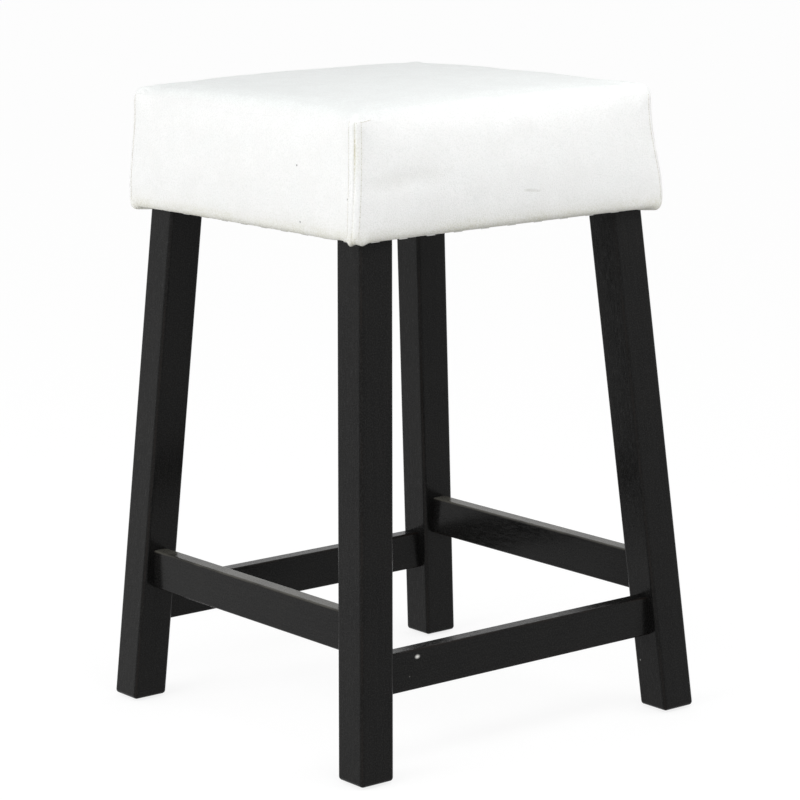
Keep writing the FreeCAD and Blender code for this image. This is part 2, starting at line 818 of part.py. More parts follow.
def make_glide_nails():
    head, shank = "Sizes.glide_nail_head_radius", "Sizes.glide_nail_radius"
    head_low = "(Sizes.glide_height - Sizes.glide_nail_head_height)"
    tip = "(Sizes.glide_height + Sizes.glide_nail_length)"
    nail = turned_piece(
        "glide_nail",
        [
            ("0", head_low),
            (head, head_low),
            (head, "Sizes.glide_height"),
            (shank, "Sizes.glide_height"),
            (shank, f"{tip} - 2 * {shank}"),
            ("0", tip),
        ],
    )
    hole_radius = f"({shank} + Sizes.screw_clearance)"
    hole = pin("glide_nail_hole", hole_radius, "0", f"{tip} + Sizes.hole_end_gap")
    for item in (nail, hole):
        glide_place(item, CORNER_TURNS["front_left"])
    round_the_stool("glide_nails", [nail])
    return round_the_stool("glide_nail_holes", [hole])


def make_stool():
    """Makes every sub-part. Returns each node's name and how many separate solids it holds."""
    bolt_holes = make_bolt_holes()
    block_screw_holes = make_block_screws()
    board_screw_holes = make_board_screws()
    rail_nail_holes = make_rail_nails()
    glide_nail_holes = make_glide_nails()
    make_bolt_parts()
    hem_staples = make_staples(
        "hem_staples", HEM_STAPLES_EACH_WAY, "hem_staple_spacing", "hem_staple_reach", "Sizes.seat_bottom"
    )
    dust_bottom = "(Sizes.seat_bottom - Sizes.dust_cover_thickness)"
    dust_staples = make_staples(
        "dust_cover_staples", DUST_STAPLES_EACH_WAY, "dust_staple_spacing", "dust_staple_reach", dust_bottom
    )

    counts = {
        "leg_bolts": 4,
        "leg_washers": 4,
        "leg_nuts": 4,
        "block_screws": 16,
        "board_screws": 8,
        "rail_nails": 4 * len(RAIL_NAIL_HEIGHTS),
        "glide_nails": 4,
        "hem_staples": 4 * (2 * HEM_STAPLES_EACH_WAY + 1),
        "dust_cover_staples": 4 * (2 * DUST_STAPLES_EACH_WAY + 1),
    }

    leg_holes = grouped("leg_holes", [bolt_holes, glide_nail_holes])
    block_holes = grouped("block_holes", [bolt_holes, block_screw_holes])
    rail_holes = grouped(
        "rail_holes", [block_screw_holes, board_screw_holes, rail_nail_holes, hem_staples, dust_staples]
    )
    hem_holes = grouped("hem_holes", [hem_staples, dust_staples])

    for corner, turn in CORNER_TURNS.items():
        leg = f"leg_{corner}"
        block = f"corner_block_{corner}"
        glide = f"foot_glide_{corner}"
        cut(leg, make_leg(leg, turn), leg_holes)
        cut(block, make_corner_block(block, turn), block_holes)
        make_glide(glide, turn)
        counts.update({leg: 1, block: 1, glide: 1})

    for side, turn in SIDE_TURNS.items():
        across = side in ("front", "back")
        stretcher, rail = f"stretcher_{side}", f"rail_{side}"
        make_stretcher(stretcher, "low_stretcher_top" if across else "high_stretcher_top", turn)
        cut(rail, make_rail(rail, rail_outer if across else rail_inner, turn), rail_holes)
        counts.update({stretcher: 1, rail: 1})

    cut("seat_board", make_seat_board(), board_screw_holes)
    make_side_padding()
    make_foam_pad()
    cut("cover", make_cover_shell(), hem_holes)
    cut("dust_cover", make_dust_cover_sheet(), dust_staples)
    counts.update(dict.fromkeys(("seat_board", "side_padding", "foam_pad", "cover", "dust_cover"), 1))
    return counts


def check_and_export(counts):
    """Stops on any failed object or unsound shape, then writes one file for each node."""
    DOC.recompute()
    for item in DOC.Objects:
        if {"Invalid", "Error"} & set(item.State):
            raise RuntimeError(f"{item.Name} failed: {item.State}")
    for name, count in counts.items():
        shape = DOC.getObject(name).Shape
        if shape.isNull() or not shape.isValid():
            raise RuntimeError(f"{name} has an unsound shape")
        if len(shape.Solids) != count:
            raise RuntimeError(f"{name} has {len(shape.Solids)} solids, not {count}")
    os.makedirs("parts", exist_ok=True)
    for name in sorted(counts):
        DOC.getObject(name).Shape.exportStep(f"parts/{name}.step")
    print(f"wrote {len(counts)} nodes")


check_and_export(make_stool())
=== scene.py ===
import math

import bpy
import numpy as np
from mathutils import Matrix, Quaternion, Vector
from mathutils.bvhtree import BVHTree


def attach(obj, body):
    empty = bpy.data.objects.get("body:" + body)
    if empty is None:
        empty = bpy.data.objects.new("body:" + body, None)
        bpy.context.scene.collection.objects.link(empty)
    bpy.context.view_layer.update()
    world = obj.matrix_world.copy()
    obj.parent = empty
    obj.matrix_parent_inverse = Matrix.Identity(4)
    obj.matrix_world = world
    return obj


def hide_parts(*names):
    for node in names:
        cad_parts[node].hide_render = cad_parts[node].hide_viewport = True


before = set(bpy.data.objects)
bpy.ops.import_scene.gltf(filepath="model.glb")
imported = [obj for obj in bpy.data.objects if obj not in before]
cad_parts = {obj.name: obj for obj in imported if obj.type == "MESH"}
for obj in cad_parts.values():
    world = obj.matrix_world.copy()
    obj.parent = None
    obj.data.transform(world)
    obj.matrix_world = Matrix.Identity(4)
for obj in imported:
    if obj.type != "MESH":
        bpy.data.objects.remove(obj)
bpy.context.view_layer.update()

# A square upholstered stool on four splayed legs. Metres, +Z up, -Y to the front.

# Camera
AZIMUTH = math.radians(-37.84163)
ELEVATION = math.radians(11.13023)
ROLL = math.radians(-0.80928)
DISTANCE = 3.31897
AIM_HEIGHT = 0.3260
AIM_TO_THE_RIGHT = 0.0034
LENS_MM = 143.002

# Light
KEY_PLACE = (-2.2, 0.1, 1.1)
KEY_POWER = 22.0
KEY_SIZE = (1.6, 1.6)
FILL_PLACE = (0.09, -0.64, 1.05)
FILL_POWER = 2.87
FILL_SIZE = (1.1, 0.4)
SEAT_MIDDLE = 0.6
SKY_AT_HORIZON = 1.22
SKY_AT_ZENITH = 0.40
FLOOR_HALF = 30.0
FLOOR_COLOUR = (0.52, 0.52, 0.50)
FLOOR_SHADOW_SHARE = 0.25
FLOOR_GLOW = 0.82

# Seat cover: the plan at its top corners, and how its sides flare towards the bottom
TOP_HALF = 0.1918
SIDE_LENGTH = 2 * TOP_HALF
FLARE = 0.0049
FLARE_STARTS = 0.15
FLARE_ENDS = 0.90
CORNER_HEIGHT = 0.6546
BOTTOM = 0.5300
CROWN = 0.0054
CROWN_FADES_BY = 0.5
LEAN_AT_TOP = -0.0025
LEAN_AT_BOTTOM = 0.0011
CORNER_PULLS = (((-1, -1), -0.0030), ((-1, 1), -0.0040), ((1, -1), 0.0012))
CORNER_LIFTS = (((1, -1), 0.0020),)
CORNER_ROUNDING = 0.0105
EDGE_ROUNDING = 0.0180
EDGE_DROP = 0.0400
CORNER_DROP = 0.0140
EDGE_ROUNDING_FROM = 0.004
EDGE_ROUNDING_OVER = 0.034

# The sides' belly between the corners, and how they tuck in towards the hem
BELLY = 0.0025
BELLY_STARTS = 0.12
BELLY_AT = 0.55
BELLY_OVER = 0.090
TUCK = 0.0028
TUCK_STARTS = 0.80

# Its hem, which rolls under the rails and stops at the legs
HEM_HEIGHT = 0.0078
HEM_DEPTH = 0.0042
HEM_INNER_HALF = 0.1812
HEM_ROLL_ROWS = 6
HEM_FLAT_ROWS = 4
HEM_FOLD = 0.0006
HEM_SQUARED_OVER = 0.008

# Spacing of the cover's mesh
FINE_STEP = 0.0007
FINE_REACH = 0.0115
ROW_STEP = 0.0008
ROW_REACH = 0.0145
STEP_GROWTH = 1.25
WIDE_STEP = 0.0060
SWELL_STEP = 0.0064

# The foam's swell
SWELL_LIMIT = 0.0022
SWELL_FRAMES = 20
SWELL_CLOTH = {
    "quality": 6,
    "mass": 0.3,
    "tension_stiffness": 25,
    "compression_stiffness": 25,
    "shear_stiffness": 10,
    "bending_stiffness": 2,
    "vertex_group_mass": "held",
    "use_pressure": True,
    "uniform_pressure_force": 4.0,
}
HELD_BELOW = 0.004
HELD_CORNER = 0.014
HELD_CORNER_FADE = 0.040
HELD_HEM = 0.008
HELD_HEM_FADE = 0.030

# Sewn corner seams, which start under the rounded top edge, and the rows of stitches beside them
SEAM_TOP = 0.6468
SEAM_TAPER = 0.0030
SEAM_DEPTH = 0.0009
SEAM_WIDTH = 0.0009
SEAM_RIDGE = 0.0006
RIDGE_ENDS_BEFORE_ROW = 0.001
RIDGE_FADE = 0.003
SEAM_DRIFTS = {"front_left": -0.0062, "front_right": 0.0025, "back_right": -0.0030, "back_left": 0.0020}
DRIFT_REACH = 0.045
STITCH_ROW_AT = 0.0064
STITCH_ROW_DEPTH = 0.00022
STITCH_ROW_WIDTH = 0.0008
STITCH_PITCH = 0.0050
STITCHED_BELOW = 0.001
STITCHED_ABOVE = 0.004
THREAD_RADIUS = 0.00036
THREAD_SIDES = 8
THREAD_ENDS = (0.10, 0.90)
THREAD_SWAY = 0.5
THREAD_PROFILE = (
    (0.0, -0.9, 0.5),
    (0.10, 0.0, 0.85),
    (0.3, 0.45, 1.0),
    (0.7, 0.45, 1.0),
    (0.9, 0.0, 0.85),
    (1.0, -0.9, 0.5),
)
HOLE_PROFILE = ((0.00065, 0.00002), (0.00042, 0.00006))
STUB_CORNER = "front_left"
STUB_LENGTH = 0.0250
STUB_RISE = 0.0020
STUB_DEPTH = 0.0004
STUB_WIDTH = 0.0009
STUB_STARTS_OVER = 0.001
STUB_FADE = 0.003
STUB_LIP = 0.2
STUB_STITCHES_BELOW = 0.0022
STUB_STITCHES_FROM = 0.002
STUB_STITCH_POINTS = 12

# Soil and painted shade in the seams, a haze of dirt beside them, and painted shade over two heights of the
# hem
DARKENED_HEIGHT = 0.617
DARKENED_REACH = 0.020
SOIL_AND_SHADE_LEAST = 0.20
SOIL_AND_SHADE_MORE = 0.65
SOIL_AND_SHADE_WIDTH = 0.0008
HAZE = 0.20
HAZE_AT = 0.003
HAZE_WIDTH = 0.004
# Painted shade towards the hem: its strength and reach, twice
HEM_SHADE = ((0.16, 0.030), (0.34, 0.014))

# Gathers at the cover's corners, as way from the corner, width and depth of each: how far they hang down
GATHER_HEIGHT = 0.016
HEM_FOLDS = {
    "front_left": (
        (-0.0020, 0.0095, 0.0010),
        (-0.0082, 0.0032, 0.0012),
        (0.0040, 0.0036, 0.0014),
        (-0.022, 0.009, -0.0012),
    ),
    "front_right": ((0.0, 0.0100, 0.0012), (-0.0052, 0.0030, 0.0011), (0.0050, 0.0034, 0.0009)),
    "back_right": ((0.0, 0.0090, 0.0016), (-0.0056, 0.0033, 0.0011), (0.0049, 0.0030, 0.0013)),
    "back_left": ((0.0, 0.0100, 0.0014), (-0.0050, 0.0032, 0.0012), (0.0060, 0.0034, 0.0010)),
}

# How far their small folds stand out
PINCH_HEIGHT = 0.012
PINCHES = {
    "front_left": ((0.0, 0.0030, -0.0010), (-0.0065, 0.0030, 0.0008), (0.0068, 0.0034, 0.0009)),
    "front_right": ((0.0, 0.0030, -0.0009), (-0.0060, 0.0030, 0.0008), (0.0062, 0.0034, 0.0008)),
    "back_right": ((0.0, 0.0030, -0.0010), (-0.0062, 0.0032, 0.0008), (0.0060, 0.0030, 0.0008)),
    "back_left": ((0.0, 0.0030, -0.0009), (-0.0060, 0.0030, 0.0009), (0.0066, 0.0034, 0.0007)),
}

# A hollow on the front
FRONT_FROM = 0.180
FRONT_OVER = 0.006
HOLLOW_PLACE = -0.132
HOLLOW_HEIGHT = 0.5865
HOLLOW_LENGTH = 0.036
HOLLOW_WIDTH = 0.010
HOLLOW_TILT = 0.04
HOLLOW_DEPTH = 0.0022

# Slight waves all over the cover: a broad set and a finer one
WAVES = 9
WAVE_RATES = (0.5, 1.3)
WAVE_HEIGHT = 0.00035
WAVE_RATE = 55.0
WAVES_ABOVE_HEM = 0.02

# The leather's colours, and where the sides' give way to the top's cooler ones, which are a painted
# reflection of the sky
SIDE_WHITES = ((0.888, 0.891, 0.890), (0.866, 0.868, 0.865))
SIDE_FLECK = (0.800, 0.810, 0.803)
# The top's cooler whites and flecks: a painted reflection of the sky
SKY_LIT_TOP_WHITES = ((0.891, 0.920, 0.911), (0.868, 0.894, 0.884))
SKY_LIT_TOP_FLECK = (0.820, 0.845, 0.837)
COOL_TINT = (0.862, 0.880, 0.880)
# Darkening colour: dirt in the seams, and painted shade in the seam grooves and along the hem
SOIL_AND_SHADE = (0.62, 0.60, 0.47)
# Colour of the painted shade in the crease and the shade patches
PAINTED_SHADE = (0.47, 0.46, 0.41)
SPECK = (0.10, 0.10, 0.10)
SKY_TINT_FROM = 0.6440
SKY_TINT_TO = 0.6540

# Small marks on the leather: place, half sizes and strength of each. The crease marks and the shade patches
# darken the colour as painted shade, of a crease on the front, of the hollow on the front and low near the
# front left corner.
# A crease on the front: a bump, and painted shade in it
CREASE = (
    ((0.0140, -0.198, 0.5636), (0.0080, 0.02, 0.0023), 0.34),
    ((0.0195, -0.198, 0.5628), (0.0080, 0.02, 0.0023), 0.30),
    ((0.0255, -0.198, 0.5619), (0.0080, 0.02, 0.0020), 0.24),
)
# Painted shade over the hollow on the front, and low near the front left corner
SHADE_PATCHES = (
    ((-0.155, -0.197, 0.5865), (0.036, 0.02, 0.0130), 0.11),
    ((-0.112, -0.197, 0.5885), (0.036, 0.02, 0.0120), 0.08),
    ((-0.166, -0.197, 0.5350), (0.028, 0.02, 0.0120), 0.16),
)
SPECKS = (
    ((-0.198, -0.1035, 0.5983), (0.02, 0.0015, 0.0015), 0.95),
    ((-0.198, -0.1054, 0.5433), (0.02, 0.0015, 0.0015), 0.95),
    ((-0.198, -0.1825, 0.5725), (0.02, 0.0013, 0.0013), 0.75),
)

# Dust cover
DUST_HALF = 0.1845
NOTCH_FROM = 0.1390
DUST_STEP = 0.0050
DUST_HEIGHT = 0.5297
DUST_THICKNESS = 0.0004
DUST_SAG = 0.0016
DUST_SAG_OVER = 0.10
DUST_HELD = 0.012
DUST_PUCKER = 0.0003
DUST_PUCKER_REACH = 0.016
DUST_RIPPLE = 0.0003
DUST_RIPPLE_RATE = 60.0
DUST_RIPPLE_OVER = 0.05
STAPLE_PITCH = 0.045

BODY = "root"
CORNERS = ("front_left", "front_right", "back_right", "back_left")
SIDES = ("front", "right", "back", "left")
SCREWS_AND_BOLTS = ("leg_bolts", "leg_washers", "leg_nuts", "block_screws", "board_screws")
NAILS_AND_STAPLES = ("rail_nails", "hem_staples", "dust_cover_staples", "glide_nails")

# Legs and stretchers, as packed
LEG_SPREAD = 0.1995
LEG_FOOT = 0.0025
LEG_SLOPE = 0.07374
LEG_HALF = 0.020
STRETCHER_HALF = 0.0085
STRETCHER_HALF_DEPTH = 0.0205
LOW_STRETCHER_MIDDLE = 0.1035
HIGH_STRETCHER_MIDDLE = 0.1448

# The wood's colours, with a lighter edge that is part wear and part painted highlight and a painted
# reflection for the high stretchers' tops, and how strongly the lacquer mirrors its surroundings
DEEP_STAIN = (0.0036, 0.0036, 0.0036)
OPEN_GRAIN = (0.0062, 0.0061, 0.0060)
CLOUDED_STAIN = (0.0070, 0.0066, 0.0063)
FLECK = (0.0180, 0.0177, 0.0174)
# Lighter edges: wear, and a painted highlight along the arrises
EDGE_WEAR_AND_HIGHLIGHT = (0.0150, 0.0110, 0.0092)
# Painted reflection on the high stretchers' tops
TOP_REFLECTION = (0.085, 0.082, 0.071)
PALE_SPOT = (0.88, 0.87, 0.84)
GLOSS = 0.100

# Pale spots on the lacquer: place, half sizes and strength of each
PALE_SPOTS = (
    ((-0.1343, -0.2005, 0.1161), (0.0040, 0.004, 0.0028), 1.0),
    ((-0.1443, -0.2005, 0.0976), (0.0010, 0.004, 0.0010), 0.15),
    ((0.1764, -0.1841, 0.0519), (0.004, 0.0014, 0.0014), 0.35),
)


def smooth(value):
    """Eases a value from 0 to 1."""
    held = np.clip(value, 0, 1)
    return held * held * (3 - 2 * held)


def bell(distance, width):
    return np.exp(-((distance / width) ** 2))


def plan_centre(height):
    """How far a leg's axis stands from the stool's centre planes at a height."""
    return LEG_SPREAD - LEG_SLOPE * (height - LEG_FOOT)


# Materials


def new_material(name):
    material = bpy.data.materials.new(name)
    material.use_nodes = True
    tree = material.node_tree
    shader = next(item for item in tree.nodes if item.type == "BSDF_PRINCIPLED")
    return material, tree, shader


def feed(tree, socket, value):
    """Sets a socket to a number or colour, or links another socket to it."""
    if isinstance(value, bpy.types.NodeSocket):
        tree.links.new(value, socket)
    else:
        socket.default_value = value


def add_node(tree, kind, *values, **settings):
    """A new node with some settings, whose first sockets get the values in their order."""
    item = tree.nodes.new(kind)
    for name, value in settings.items():
        setattr(item, name, value)
    for socket, value in zip(item.inputs, values):
        feed(tree, socket, value)
    return item


def paint(tree, shader, colour, roughness, normal=None):
    feed(tree, shader.inputs["Base Color"], colour)
    feed(tree, shader.inputs["Roughness"], roughness)
    if normal:
        feed(tree, shader.inputs["Normal"], normal)


def compute(tree, operation, *values):
    return add_node(tree, "ShaderNodeMath", *values, operation=operation).outputs[0]


def spread(tree, value, low, high, to_low=0.0, to_high=1.0):
    """Maps a range to another, eased at both ends."""
    ends = (low, high, to_low, to_high)
    return add_node(tree, "ShaderNodeMapRange", value, *ends, interpolation_type="SMOOTHSTEP").outputs[0]


def mixed(tree, share, first, second):
    item = add_node(tree, "ShaderNodeMix", data_type="RGBA")
    feed(tree, item.inputs["Factor"], share)
    feed(tree, item.inputs[6], (*first, 1) if isinstance(first, tuple) else first)
    feed(tree, item.inputs[7], (*second, 1) if isinstance(second, tuple) else second)
    return item.outputs[2]


def noise(tree, place, scale, detail=2.0, roughness=0.5, distortion=0.0):
    item = add_node(tree, "ShaderNodeTexNoise", place)
    item.inputs["Scale"].default_value = scale
    item.inputs["Detail"].default_value = detail
    item.inputs["Roughness"].default_value = roughness
    item.inputs["Distortion"].default_value = distortion
    return item.outputs["Fac"]


def cells(tree, place, scale, feature="DISTANCE_TO_EDGE"):
    item = add_node(tree, "ShaderNodeTexVoronoi", place, feature=feature)
    item.inputs["Scale"].default_value = scale
    return item.outputs["Distance"]


def marked(tree, place, marks):
    """How strongly the strongest of some small oval marks shows at a place."""
    shown = 0.0
    for mark in marks:
        shown = compute(tree, "MAXIMUM", shown, oval(tree, place, *mark))
    return shown


def oval(tree, place, centre, halves, strength):
    """A soft oval: its strength in the middle, 0 outside."""
    away = add_node(tree, "ShaderNodeVectorMath", place, centre, operation="SUBTRACT").outputs[0]
    shares = add_node(tree, "ShaderNodeVectorMath", away, halves, operation="DIVIDE").outputs[0]
    length = add_node(tree, "ShaderNodeVectorMath", shares, operation="LENGTH").outputs["Value"]
    return spread(tree, length, 0.1, 1.0, strength, 0.0)


def bump(tree, height, distance, strength=1.0, under=None):
    item = add_node(tree, "ShaderNodeBump")
    item.inputs["Strength"].default_value = strength
    item.inputs["Distance"].default_value = distance
    feed(tree, item.inputs["Height"], height)
    if under:
        feed(tree, item.inputs["Normal"], under)
    return item.outputs["Normal"]


def own_place(tree):
    return add_node(tree, "ShaderNodeTexCoord").outputs["Object"]


def split(tree, place):
    return add_node(tree, "ShaderNodeSeparateXYZ", place).outputs


def joined(tree, x, y, z):
    return add_node(tree, "ShaderNodeCombineXYZ", x, y, z).outputs[0]


def leg_coordinates(tree):
    """Two distances across a leg from its leaning axis, the height, and a number of the leg's own."""
    x, y, z = split(tree, own_place(tree))
    climbed = compute(tree, "SUBTRACT", z, LEG_FOOT)
    centre = compute(tree, "MULTIPLY_ADD", climbed, -LEG_SLOPE, LEG_SPREAD)
    across_x = compute(tree, "SUBTRACT", compute(tree, "ABSOLUTE", x), centre)
    across_y = compute(tree, "SUBTRACT", compute(tree, "ABSOLUTE", y), centre)
    side = compute(tree, "MULTIPLY_ADD", compute(tree, "SIGN", x), 2.0, compute(tree, "SIGN", y))
    return across_x, across_y, z, side


def stretcher_coordinates(tree, along_x, middle):
    """As for a leg: across the bar's thickness and its depth, then along it."""
    x, y, z = split(tree, own_place(tree))
    along, across = (x, y) if along_x else (y, x)
    out = compute(tree, "SUBTRACT", compute(tree, "ABSOLUTE", across), plan_centre(middle))
    up = compute(tree, "SUBTRACT", z, middle)
    side = compute(tree, "MULTIPLY", compute(tree, "SIGN", across), 5.0)
    return out, up, along, side


def near_arris(tree, across, half_across, over, half_over):
    """1 along the piece's long edges, 0 on its flat faces."""
    from_side = compute(tree, "SUBTRACT", half_across, compute(tree, "ABSOLUTE", across))
    from_other = compute(tree, "SUBTRACT", half_over, compute(tree, "ABSOLUTE", over))
    return spread(tree, compute(tree, "MAXIMUM", from_side, from_other), 0.0004, 0.0026, 1.0, 0.0)


def painted_top_reflection(tree, over, half_over, patches):
    """Where a painted reflection shows on a stretcher's top and upper edge, in patches."""
    on_top = spread(tree, over, half_over - 0.0022, half_over - 0.0002)
    return compute(tree, "MULTIPLY", on_top, spread(tree, patches, 0.30, 0.62, 0.35, 1.0))


def espresso_wood(name, coordinates, half_across, half_over, painted_light=False):
    """Near-black stain under a thin satin lacquer, browner along the edges from wear and a painted highlight,
    with a painted reflection on the tops if asked.
    """
    material, tree, shader = new_material(name)
    across, over, along, side = coordinates(tree)
    shifted = compute(tree, "ADD", along, side)
    streaks_place = joined(tree, across, over, compute(tree, "MULTIPLY", shifted, 0.035))
    pores_place = joined(tree, across, over, compute(tree, "MULTIPLY", shifted, 0.060))
    streaks = noise(tree, streaks_place, 260.0, 4.0, 0.6, 0.4)
    pores = noise(tree, pores_place, 1500.0, 2.0, 0.5)
    patches = noise(tree, joined(tree, across, over, shifted), 22.0, 3.0)
    mottle = noise(tree, joined(tree, across, over, shifted), 700.0, 2.0)
    pore_depth = spread(tree, pores, 0.56, 0.70)

    drawn = spread(tree, streaks, 0.35, 0.68)
    stained = mixed(tree, drawn, DEEP_STAIN, OPEN_GRAIN)
    clouded = mixed(tree, spread(tree, patches, 0.40, 0.70, 0.0, 0.6), stained, CLOUDED_STAIN)
    arris = near_arris(tree, across, half_across, over, half_over)
    # Lighter along the edges: wear, and a painted highlight
    edge_wear_and_highlight = compute(tree, "MULTIPLY", arris, spread(tree, patches, 0.36, 0.62, 0.15, 0.75))
    flecked = spread(tree, mottle, 0.42, 0.66, 0.0, 0.7)
    mottled = mixed(tree, flecked, clouded, FLECK)
    wood = mixed(tree, edge_wear_and_highlight, mottled, EDGE_WEAR_AND_HIGHLIGHT)
    # A painted reflection on the tops
    if painted_light:
        wood = mixed(tree, painted_top_reflection(tree, over, half_over, patches), wood, TOP_REFLECTION)
    spotted = mixed(tree, marked(tree, own_place(tree), PALE_SPOTS), wood, PALE_SPOT)

    satin = compute(tree, "MULTIPLY_ADD", streaks, 0.06, 0.13)
    roughness = compute(tree, "MULTIPLY_ADD", patches, 0.06, satin)
    shader.inputs["Specular IOR Level"].default_value = GLOSS
    grain = bump(tree, streaks, 0.00022, 0.35)
    pored = bump(tree, compute(tree, "MULTIPLY", pore_depth, -1.0), 0.00010, 0.5, grain)
    paint(tree, shader, spotted, roughness, pored)
    return material


def faux_leather():
    """White vinyl with a fine pebbled grain, dirt and painted shade in its seams, painted shade at its hem,
    in a crease and over a hollow, and a painted reflection of the sky on its top.
    """
    material, tree, shader = new_material("white_faux_leather")
    place = own_place(tree)
    warp = noise(tree, place, 260.0, 3.0, 0.6)
    pebbles = cells(tree, place, 470.0)
    fine = noise(tree, place, 1500.0, 2.0, 0.6)
    speckle = noise(tree, place, 640.0, 3.0, 0.7)
    clouds = noise(tree, place, 38.0, 4.0, 0.6)
    tints = noise(tree, place, 34.0, 3.0, 0.5)

    clouded = spread(tree, clouds, 0.36, 0.66)
    sides = mixed(tree, clouded, *SIDE_WHITES)
    # The top's colour: the white vinyl with a painted reflection of the sky
    top = mixed(tree, spread(tree, warp, 0.42, 0.62, 0.0, 0.4), mixed(tree, clouded, *SKY_LIT_TOP_WHITES), SKY_LIT_TOP_FLECK)
    clean = mixed(tree, spread(tree, split(tree, place)[2], SKY_TINT_FROM, SKY_TINT_TO), sides, top)
    tinted = mixed(tree, spread(tree, tints, 0.45, 0.75, 0.0, 0.4), clean, COOL_TINT)
    # Dirt and painted shade, from the seams and the hem
    soil_and_shade = add_node(tree, "ShaderNodeAttribute", attribute_name="soil_and_shade").outputs["Fac"]
    patchy = compute(tree, "MULTIPLY", soil_and_shade, spread(tree, tints, 0.30, 0.65, 0.55, 1.0))
    soiled_and_shaded = compute(tree, "MULTIPLY", patchy, spread(tree, speckle, 0.38, 0.62, 0.5, 1.5))
    speckled = mixed(tree, spread(tree, speckle, 0.46, 0.64, 0.0, 0.8), tinted, SIDE_FLECK)
    darkened = mixed(tree, soiled_and_shaded, speckled, SOIL_AND_SHADE)
    crease = marked(tree, place, CREASE)
    # Painted shade in the crease and over the hollow on the front darkens the colour
    painted_light = compute(tree, "ADD", crease, marked(tree, place, SHADE_PATCHES))
    scuffed = mixed(tree, painted_light, darkened, PAINTED_SHADE)
    specked = mixed(tree, marked(tree, place, SPECKS), scuffed, SPECK)

    roughness = spread(tree, clouds, 0.30, 0.70, 0.46, 0.56)
    shader.inputs["Specular IOR Level"].default_value = 0.40
    shader.inputs["Sheen Weight"].default_value = 0.04
    shader.inputs["Sheen Roughness"].default_value = 0.4
    pebbled = spread(tree, pebbles, 0.02, 0.30)
    raised = compute(tree, "MULTIPLY_ADD", warp, 0.6, pebbled)
    grain = bump(tree, raised, 0.00014, 0.95)
    creased = bump(tree, compute(tree, "MULTIPLY", crease, -1.0), 0.0006, 1.0, grain)
    paint(tree, shader, specked, roughness, bump(tree, fine, 0.00005, 0.5, creased))
    return material


def sewing_thread():
    material, tree, shader = new_material("sewing_thread")
    plies = noise(tree, own_place(tree), 5200.0, 1.0)
    colour = mixed(tree, plies, (0.70, 0.68, 0.63), (0.82, 0.81, 0.77))
    paint(tree, shader, colour, 0.62, bump(tree, plies, 0.00008, 0.6))
    return material


def needle_hole_shade():
    material, tree, shader = new_material("needle_hole_shade")
    marks = noise(tree, own_place(tree), 3000.0, 1.0)
    paint(tree, shader, mixed(tree, marks, (0.58, 0.56, 0.51), (0.70, 0.68, 0.63)), 0.8)
    return material


def dust_cloth():
    """Black spun-bonded cloth with a fine dimpled print."""
    material, tree, shader = new_material("black_dust_cloth")
    place = own_place(tree)
    fibres = noise(tree, place, 1700.0, 5.0, 0.7, 1.5)
    dimples = cells(tree, place, 620.0, "F1")
    colour = mixed(tree, fibres, (0.010, 0.010, 0.010), (0.030, 0.030, 0.031))
    roughness = spread(tree, fibres, 0.3, 0.7, 0.78, 0.95)
    shader.inputs["Specular IOR Level"].default_value = 0.25
    pressed = bump(tree, dimples, 0.00025, 0.6)
    paint(tree, shader, colour, roughness, bump(tree, fibres, 0.00012, 0.6, pressed))
    return material


def plywood():
    """Birch plywood: pale face grain, with the edges' darker glue lines."""
    material, tree, shader = new_material("plywood")
    place = own_place(tree)
    x, y, z = split(tree, place)
    drawn = joined(tree, compute(tree, "MULTIPLY", x, 0.06), y, z)
    grain = noise(tree, drawn, 160.0, 4.0, 0.6, 0.6)
    layers = add_node(tree, "ShaderNodeTexWave", place, bands_direction="Z", wave_profile="SAW")
    layers.inputs["Scale"].default_value = 90.0
    pale = mixed(tree, grain, (0.60, 0.44, 0.27), (0.45, 0.30, 0.17))
    lined = spread(tree, layers.outputs["Fac"], 0.85, 1.0, 0.0, 0.35)
    colour = mixed(tree, lined, pale, (0.28, 0.18, 0.10))
    roughness = spread(tree, grain, 0.3, 0.7, 0.60, 0.75)
    paint(tree, shader, colour, roughness, bump(tree, grain, 0.0002, 0.4))
    return material


def zinc_steel():
    material, tree, shader = new_material("zinc_steel")
    spangle = noise(tree, own_place(tree), 900.0, 3.0)
    colour = mixed(tree, spangle, (0.50, 0.50, 0.49), (0.66, 0.66, 0.63))
    roughness = spread(tree, spangle, 0.3, 0.7, 0.30, 0.48)
    shader.inputs["Metallic"].default_value = 1.0
    paint(tree, shader, colour, roughness, bump(tree, spangle, 0.00004, 0.4))
    return material


def glide_plastic():
    """Black moulded nylon, scuffed underneath where it slides."""
    material, tree, shader = new_material("glide_plastic")
    x, y, z = split(tree, own_place(tree))
    marks = noise(tree, joined(tree, x, compute(tree, "MULTIPLY", y, 0.1), z), 1400.0, 4.0, 0.7)
    below = spread(tree, z, 0.0002, 0.0010, 1.0, 0.0)
    scuffed = compute(tree, "MULTIPLY", below, spread(tree, marks, 0.45, 0.65, 0.0, 0.8))
    colour = mixed(tree, scuffed, (0.018, 0.018, 0.018), (0.085, 0.083, 0.080))
    roughness = spread(tree, marks, 0.3, 0.7, 0.42, 0.60)
    paint(tree, shader, colour, roughness, bump(tree, marks, 0.00006, 0.5))
    return material


def dress(node, material):
    """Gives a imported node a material."""
    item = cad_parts[node]
    if not item.data.materials:
        item.data.materials.append(material)
    for slot in item.material_slots:
        slot.material = material


def bar_wood(name, along_x, middle, painted_light):
    """The legs' wood for one pair of stretchers, with a painted reflection on their tops if asked."""

    def coordinates(tree):
        return stretcher_coordinates(tree, along_x, middle)

    return espresso_wood(name, coordinates, STRETCHER_HALF, STRETCHER_HALF_DEPTH, painted_light)


